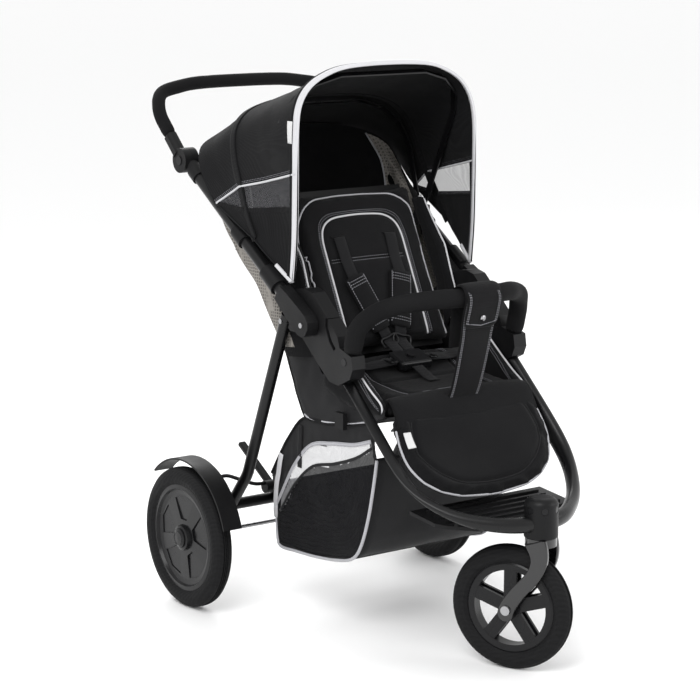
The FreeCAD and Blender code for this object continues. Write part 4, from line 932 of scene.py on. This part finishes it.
ub, lb = pts_along(UPR, 44), pts_along(LOW, 44)
V_, F_ = [], []
cols_b = []
for f in [k / 8 for k in range(9)]:
    cols_b.append((-1, f))
acr = [k / 20 for k in range(1, 20)]
for i in range(45):
    for k in range(9):
        p = ub[i].lerp(lb[i], k / 8)
        V_.append(A(-(163 + 2.0 * math.sin(math.pi * k / 8) + 1.4 * noise.noise(Vector((i * 0.3, k * 0.4, 2)))), p.y, p.z))
    for t in acr:
        p = lb[i]
        V_.append(A(-163 + 326 * t, p.y, p.z - 5 * math.sin(math.pi * t) + 1.5 * noise.noise(Vector((i * 0.25, t * 7, 5)))))
    for k in range(8, -1, -1):
        p = ub[i].lerp(lb[i], k / 8)
        V_.append(A(163 + 2.0 * math.sin(math.pi * k / 8) + 1.4 * noise.noise(Vector((i * 0.3, k * 0.4, 8))), p.y, p.z))
w_ = 9 + len(acr) + 9
for i in range(44):
    for k in range(w_ - 1):
        F_.append((i * w_ + k, i * w_ + k + 1, (i + 1) * w_ + k + 1, (i + 1) * w_ + k))
base_shell = add("seat_base_sling", V_, F_, satin, "front_frame")
declare(base_shell)
for side, k0 in (("right", 8), ("left", w_ - 9)):
    tube("seat_base_binding_" + side, [V_[i * w_ + k0] + Vector((0, 0, 0.004)) for i in range(17, 40)], 0.0017, silver, "front_frame")
    tube("seat_base_seam_" + side, [V_[i * w_ + k0] for i in range(45)], 0.0018, cloth, "front_frame")

# ------------------------------------------------------------------ leg rest
leg = stuffed("leg_rest_pad", ["leg_rest"], cloth, "leg_rest", cap=0.008)
LU, UN = Vector((0, -0.566, -0.824)).normalized(), Vector((0, -0.824, 0.566)).normalized()
LO = A(0, -466, 440)


def LG(x, s, w):
    return LO + Vector((x / 1000, 0, 0)) + LU * (s / 1000) + UN * (w / 1000)


# padded roll that closes the seat's front edge onto the leg rest
roll = []
for y, z, h in ((-436, 462, 0), (-448, 465, 0), (-460, 463, 0), (-470, 455, 0), (-477, 444, 0), (-484, 432, 0), (-490, 421, 0)):
    roll.append((y, z))
rl_ = curve(AL([(0, y, z) for y, z in roll]), 0.004)
ap = slab("seat_front_apron", rl_, [(0, 0.150), (0.3, 0.158), (1, 0.160)], 0.008, cloth, None, puff=0.004, nx=40)
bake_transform(ap)
bl = bvh_of(leg)
seam_in = curve([LG(x, s, 30) for x, s in ((-128, 14), (-138, 50), (-138, 84), (-120, 112), (-96, 132), (-62, 148), (0, 154), (62, 148), (96, 132), (120, 112), (138, 84), (138, 50), (128, 14))], 0.004)
q, _ = snap(seam_in, bl, 0, -UN)
cross = [snap([LG(x, s, 30) for x in range(-50, 51, 4)], bl, 0, -UN)[0] for s in (74,)]
groove(leg, [q], 0.0045, 0.006, UN)
bl = bvh_of(leg)
q, qn = snap(seam_in, bl, 0.0006, -UN)
tube("leg_rest_seam_cord", q, 0.0012, satin, "leg_rest")
rows = []
edge = [LG(x, s, 6) for x, s in ((-168, 30), (-173, 70), (-169, 100), (-151, 136), (-121, 161), (-80, 177), (0, 185), (80, 177), (121, 161), (151, 136), (169, 100), (173, 70), (168, 30))]
q, qn = snap(curve(edge, 0.004), bl, 0.0008)
tube("leg_rest_piping", relax(q, 14), 0.0021, silver, "leg_rest")
q, qn = snap([LG(0, 84, 30) + (p - LG(0, 84, 30)) * 0.95 for p in curve(edge, 0.004)], bl, 0.0003, -UN)
rows.append((q, qn))
dashes("leg_rest_stitches", rows, mat=satin, body="leg_rest")
q, qn = snap([LG(-148, 40, 30), LG(20, 150, 30)], bl, 0.0022, -UN)
tag("leg_rest_blank_label", q[0], Vector((1, 0, 0)), LU, 0.017, 0.030, tagm, "leg_rest")

# ------------------------------------------------------------------ bumper bar with its foam and the strap in front of the child
BP = [(-186, -389.3, 547.0), (-186, -394, 564), (-184.5, -401, 586), (-175, -414, 606), (-156, -436, 625), (-124, -459, 636), (-90, -487, 643), (-66, -499, 645.0), (-40, -505, 645), (0, -507, 645)]
bar_line = curve(AL(BP + [(-x, y, z) for x, y, z in reversed(BP[:-1])]), 0.006)
pr = []
V_, F_ = [], []
nb = len(bar_line)
ringk = 20
up = None
for i, p in enumerate(bar_line):
    a, b = bar_line[max(0, i - 1)], bar_line[min(nb - 1, i + 1)]
    tan = (b - a).normalized()
    u = (Vector((0, 0, 1)) if up is None else up)
    if abs(tan.z) > 0.95 and up is None:
        u = Vector((0, 1, 0))
    u = (u - tan * u.dot(tan)).normalized()
    up = u
    s_ = tan.cross(u)
    e = min(i, nb - 1 - i)
    r = 0.0172 * (1 if e > 1 else (0.86, 0.96)[e])
    r += 0.00025 * noise.noise(p * 60)
    for k in range(ringk):
        an = 2 * math.pi * k / ringk
        V_.append(p + s_ * r * math.cos(an) + u * r * math.sin(an))
for i in range(nb - 1):
    for k in range(ringk):
        F_.append((i * ringk + k, i * ringk + (k + 1) % ringk, (i + 1) * ringk + (k + 1) % ringk, (i + 1) * ringk + k))
F_.append(tuple(reversed(range(ringk))))
F_.append(tuple(range((nb - 1) * ringk, nb * ringk)))
foam = add("bumper_foam_sleeve", V_, F_, foamm, "bumper")
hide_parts("bumper_foam")
# seam down the underside of the foam sleeve
tube("bumper_foam_seam", [p + Vector((0, 0.0076, -0.0154)) for p in bar_line[8:-8]], 0.0007, foamm, "bumper")

CS = [(-474, 452), (-474, 480), (-478, 520), (-484, 560), (-492, 600), (-499, 622)]
strap_front = curve(AL([(0, y, z) for y, z in ((-470, 458), (-480, 480), (-493, 520), (-505, 566), (-514, 606), (-524, 632), (-527.5, 648), (-522, 662), (-508, 667.5), (-494, 661), (-487.5, 646), (-487, 622), (-484, 590), (-478, 552))]), 0.004)


widths = [(0, 0.034), (0.35, 0.036), (0.5, 0.041), (0.8, 0.042), (1.0, 0.039)]
cs = slab("crotch_strap_pad", strap_front, widths, 0.0065, cloth, "bumper", puff=0.001)
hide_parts("crotch_strap")
bc = bvh_of(cs)
rows = []
for sx in (-1, 1):
    for d in (0.0035, 0.0065):
        line = strap_front[:int(len(strap_front) * 0.55)]
        q = []
        for i, p in enumerate(line):
            w = np.interp(i / (len(strap_front) - 1), [x[0] for x in widths], [x[1] for x in widths]) - d
            q.append(p + Vector((sx * w, 0, 0)))
        q2, qn = [], []
        for i, p in enumerate(q):
            a, b = line[max(0, i - 1)], line[min(len(line) - 1, i + 1)]
            nn = Vector((1, 0, 0)).cross((b - a).normalized())
            nn = nn if nn.y < 0 else -nn
            q2.append(p + nn * 0.0034)
            qn.append(nn)
        rows.append((q2, qn))
dashes("crotch_strap_stitches", rows, body="bumper", r=0.0006)
# flap end of the strap with a press stud
flap = curve(AL([(0, -516, 664), (0, -526, 657), (0, -531.5, 644), (0, -528, 626), (0, -521, 604), (0, -517, 590)]), 0.003)
slab("strap_flap", flap, [(0, 0.039), (0.7, 0.040), (0.9, 0.037), (1.0, 0.029)], 0.0030, cloth, "bumper")
lines = []
for d in (0.004, 0.007):
    u_ = [Vector((-0.038 + d, p.y, p.z)) for p in flap[4:-4]]
    end = flap[-3]
    u_ += [Vector((x, end.y, end.z + abs(x) * 0.15)) for x in np.linspace(-0.027, 0.027, 11)]
    u_ += [Vector((0.038 - d, p.y, p.z)) for p in reversed(flap[4:-4])]
    fn_ = Vector((0, -0.95, -0.2)).normalized()
    lines.append(([p + fn_ * 0.0020 for p in u_], [fn_] * len(u_)))
dashes("strap_flap_stitches", lines, body="bumper", r=0.0006)
c = A(0, -524.5, 609)
stud_n = Vector((0, -0.95, -0.26)).normalized()
stud = curve([c + stud_n * 0.0008, c + stud_n * 0.0028], 0.0005)
v_, f_ = sweep(stud, circle(0.0058, 24))
add("strap_press_stud", v_, f_, steel, "bumper")

# ------------------------------------------------------------------ handle foam
hp_lo, hp_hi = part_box("handle_grip")
HP = (118, 846)
GD = (0.7306, 0.6829)
hpts = [(-222, 66), (-222, 92), (-221.5, 112), (-216, 136), (-203, 163), (-184, 179), (-150, 188.5), (-110, 196), (-60, 198.6), (0, 199)]
hl = [A(x, HP[0] + GD[0] * s, HP[1] + GD[1] * s) for x, s in hpts + [(-x, s) for x, s in reversed(hpts[:-1])]]
hline = curve(hl, 0.006)
V_, F_ = [], []
nb = len(hline)
plane_n = Vector((0, -GD[1], GD[0]))
for i, p in enumerate(hline):
    a, b = hline[max(0, i - 1)], hline[min(nb - 1, i + 1)]
    tan = (b - a).normalized()
    u = plane_n
    s_ = tan.cross(u)
    e = min(i, nb - 1 - i)
    r = 0.0130 * (1 if e > 1 else (0.82, 0.95)[e]) + 0.00022 * noise.noise(p * 60)
    for k in range(ringk):
        an = 2 * math.pi * k / ringk
        V_.append(p + s_ * r * math.cos(an) + u * r * math.sin(an))
for i in range(nb - 1):
    for k in range(ringk):
        F_.append((i * ringk + k, i * ringk + (k + 1) % ringk, (i + 1) * ringk + (k + 1) % ringk, (i + 1) * ringk + k))
F_.append(tuple(reversed(range(ringk))))
F_.append(tuple(range((nb - 1) * ringk, nb * ringk)))
grip = add("handle_foam_sleeve", V_, F_, foamm, "handle")
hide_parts("handle_grip")
tube("handle_foam_seam", [p - plane_n * 0.0128 for p in hline[4:-4]], 0.0006, foamm, "handle")

# ------------------------------------------------------------------ basket
TOPB = [(-426, 418), (-410, 416), (-345, 402), (-270, 393), (-200, 388), (-150, 342), (-118, 300), (-92, 262)]
BOT = [(-420, 350), (-410, 300), (-394, 236), (-372, 180), (-346, 150), (-300, 136), (-230, 126), (-160, 121), (-108, 119), (-98, 140), (-96, 190), (-93, 240)]


def line2(pts, n):
    c = curve([Vector((0, y, z)) for y, z in pts], 2.0)
    d = [0.0]
    for a, b in zip(c, c[1:]):
        d.append(d[-1] + (b - a).length)
    out = []
    for i in range(n + 1):
        x = d[-1] * i / n
        k = 0
        while k < len(d) - 2 and d[k + 1] < x:
            k += 1
        out.append(c[k].lerp(c[k + 1], (x - d[k]) / max(d[k + 1] - d[k], 1e-9)))
    return out


BAND = [(0.03, 0.38), (0.18, 0.22), (0.36, 0.15), (0.52, 0.19), (0.66, 0.30), (0.78, 0.50), (0.86, 0.72)]
nB = 96
tl, bl_ = line2(TOPB, nB), line2(BOT, nB)
WX = 164.0
V_, F_, M_ = [], [], []
nz = 40
# side walls, bulging a little, joined to a bottom band across the stroller
for side in (-1, 1):
    for i in range(nB + 1):
        for j in range(nz + 1):
            t = j / nz
            p = tl[i].lerp(bl_[i], t)
            bulge = 5.0 * math.sin(math.pi * t) * math.sin(math.pi * i / nB) - 9.0 * t ** 3
            wr = 1.6 * math.sin(math.pi * t) * noise.noise(Vector((i * 0.22, j * 0.3, side * 3.0)))
            V_.append(A(side * (WX - 2 + bulge + wr), p.y, p.z))
nrow = nz + 1


def bi(side, i, j):
    return (0 if side < 0 else (nB + 1) * nrow) + i * nrow + j


for side in (-1, 1):
    for i in range(nB):
        for j in range(nz):
            q = (bi(side, i, j), bi(side, i + 1, j), bi(side, i + 1, j + 1), bi(side, i, j + 1))
            F_.append(q if side > 0 else tuple(reversed(q)))
            t, s_ = (j + 0.5) / nz, (i + 0.5) / nB
            tb = float(np.interp(s_, [a_ for a_, _t in BAND], [t_ for _a, t_ in BAND]))
            M_.append(2 if 0.05 < s_ < 0.78 and tb < t < tb + 0.15 else (1 if t > tb and 0.03 < s_ < 0.90 else 0))
nx = 14
base = len(V_)
for i in range(nB + 1):
    for k in range(1, nx):
        f = k / nx * 2 - 1
        a, b = V_[bi(-1, i, nz)], V_[bi(1, i, nz)]
        p = a.lerp(b, k / nx)
        down = (1 - f * f)
        n_in = 0.0015 * noise.noise(Vector((i * 0.2, k * 0.3, 9)))
        V_.append(p + Vector((0, (0.006 if i > nB * 0.8 else (-0.004 if i < nB * 0.3 else 0)) * down * 0, n_in if 0.3 * nB < i < 0.8 * nB else 0)))


def mi(i, k):
    if k == 0:
        return bi(-1, i, nz)
    if k == nx:
        return bi(1, i, nz)
    return base + i * (nx - 1) + k - 1


for i in range(nB):
    for k in range(nx):
        F_.append((mi(i, k), mi(i, k + 1), mi(i + 1, k + 1), mi(i + 1, k)))
        M_.append(0)
basket = add("basket_cloth", V_, F_, None, face_mats=M_, mats=[satin, netm, lnet])
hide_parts("basket")
bbits = []


def wall(side, i, t, off=0.0):
    """Point on the basket's side wall; i runs front to rear 0..1, t from the top edge down."""
    fi = i * nB
    i0 = min(int(fi), nB - 1)
    j0 = min(int(t * nz), nz - 1)
    a, b = fi - i0, t * nz - j0
    p = (V_[bi(side, i0, j0)] * (1 - a) + V_[bi(side, i0 + 1, j0)] * a) * (1 - b) + (V_[bi(side, i0, j0 + 1)] * (1 - a) + V_[bi(side, i0 + 1, j0 + 1)] * a) * b
    return p + Vector((side * off, 0, 0))


for side in (-1, 1):
    nm = "right" if side < 0 else "left"
    X = Vector((side, 0, 0))
    low = [wall(side, i / 60, 1.0, 0.0012) for i in range(0, 61)]
    bbits.append(tube("basket_edge_binding_" + nm, low, 0.0030, silver))
    top = [wall(side, i / 60, 0.0, 0.0) for i in range(0, 61)]
    bbits.append(tube("basket_top_hem_" + nm, top, 0.0030, cloth))
    # pocket band: silver tape falling from the front to the rear
    band = curve([wall(side, a, t, 0.0014) for a, t in BAND], 0.005)
    bbits.append(strap("basket_pocket_band_" + nm, band, [X] * len(band), 0.0075, 0.0012, silver))
    bbits.append(dashes("basket_band_stitches_" + nm, [([p + X * 0.0014 + Vector((0, 0, dz)) for p in band], [X] * len(band)) for dz in (-0.0022, 0.0022)]))
    b2 = curve([wall(side, a, t, 0.0014) for a, t in [(a_, t_ + 0.15) for a_, t_ in BAND[:6]]], 0.005)
    bbits.append(strap("basket_net_edge_" + nm, b2, [X] * len(b2), 0.006, 0.0010, satin))
    for k_, (a, t0, t1) in enumerate(((0.83, 0.06, 0.95), (0.60, 0.04, 0.34))):
        ln = curve([wall(side, a + 0.05 * (t - t0), t, 0.0016) for t in np.linspace(t0, t1, 9)], 0.005)
        bbits.append(strap("basket_tie_%s_%d" % (nm, k_), ln, [X] * len(ln), 0.014, 0.0014, web if k_ else white))
rear_edge = [V_[mi(nB, k)] for k in range(nx + 1)]
bbits.append(tube("basket_rear_hem", rear_edge, 0.0034, cloth))
front_edge = [V_[mi(0, k)] for k in range(nx + 1)]
bbits.append(tube("basket_front_hem", front_edge, 0.0034, cloth))
for o in [basket] + bbits:
    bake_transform(o)
declare(basket)

# ------------------------------------------------------------------ small fittings
for side in (-1, 1):
    nm = "right" if side < 0 else "left"
    for k_, (y, z) in enumerate(((-285, 583), (-190, 575))):
        c = A(side * 226.5 if k_ == 0 else side * 206.5, y, z)
    # tread ribs on the rear tyres come from the tyre's own material; hub detail ring here
    lo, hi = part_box("rear_hub_cap_" + nm)
    cx = lo.x if side < 0 else hi.x
    cc = (lo + hi) / 2
    ringp = [Vector((cx - side * 0.0012, cc.y + 0.0125 * math.cos(a), cc.z + 0.0125 * math.sin(a))) for a in np.linspace(0, 2 * math.pi, 40, endpoint=False)]
    tube("hub_ring_" + nm, ringp, 0.0010, gloss, "rear_wheel_" + nm, closed=True)

# every CAD cloth node is replaced or covered; the rest is checked here
for n_, o_ in N.items():
    if not o_.hide_render and not o_.data.materials:
        o_.data.materials.append(plast)
    if not o_.hide_render:
        o_.data.polygons.foreach_set("use_smooth", [True] * len(o_.data.polygons))
        try:
            o_.data.set_sharp_from_angle(angle=math.radians(28))
        except AttributeError:
            pass

# ------------------------------------------------------------------ stage, light, camera
fm = bpy.data.materials.new("pale floor")
fm.use_nodes = True
fb = fm.node_tree.nodes["Principled BSDF"]
fb.inputs["Base Color"].default_value = (0.96, 0.96, 0.96, 1)
fb.inputs["Roughness"].default_value = 0.42
fb.inputs["Specular IOR Level"].default_value = 0.35
vs, fs = [], []
for j in range(-6, 7):
    for i in range(-6, 7):
        vs.append((i * 12.0, j * 12.0, 0.0))
for j in range(12):
    for i in range(12):
        q = j * 13 + i
        fs.append((q, q + 1, q + 14, q + 13))
fme = bpy.data.meshes.new("floor")
fme.from_pydata(vs, [], fs)
fme.materials.append(fm)
fme.polygons.foreach_set("use_smooth", [True] * len(fme.polygons))
floor = bpy.data.objects.new("floor", fme)
bpy.context.collection.objects.link(floor)

world = bpy.data.worlds.new("studio")
bpy.context.scene.world = world
world.use_nodes = True
world.node_tree.nodes["Background"].inputs[0].default_value = (1, 1, 1, 1)
world.node_tree.nodes["Background"].inputs[1].default_value = 1.0


def lamp(name, at, to, size, power):
    d = bpy.data.lights.new(name, "AREA")
    d.shape = "RECTANGLE"
    d.size, d.size_y = size
    d.energy = power
    o = bpy.data.objects.new(name, d)
    o.location = at
    o.rotation_euler = (Vector(to) - Vector(at)).to_track_quat("-Z", "Y").to_euler()
    bpy.context.collection.objects.link(o)
    return o


lamp("key", (-2.6, -1.8, 3.4), (0, 0, 0.5), (2.2, 2.2), 110)
lamp("fill", (2.8, -3.0, 1.8), (0, 0, 0.5), (2.4, 1.8), 50)
lamp("back", (0.8, 3.2, 2.8), (0, 0, 0.6), (2.6, 1.6), 70)

cam = bpy.data.cameras.new("camera")
cam.lens, cam.sensor_width = 114.45, 36.0
co = bpy.data.objects.new("camera", cam)
eye, aim = Vector((-2.4474, -3.3039, 1.3042)), Vector((-0.00545, 0.1070, 0.4888))
co.location = eye
co.rotation_euler = (aim - eye).to_track_quat("-Z", "Y").to_euler()
bpy.context.collection.objects.link(co)
bpy.context.scene.camera = co
bpy.context.scene.view_settings.view_transform = "Standard"
cam.clip_end = 300
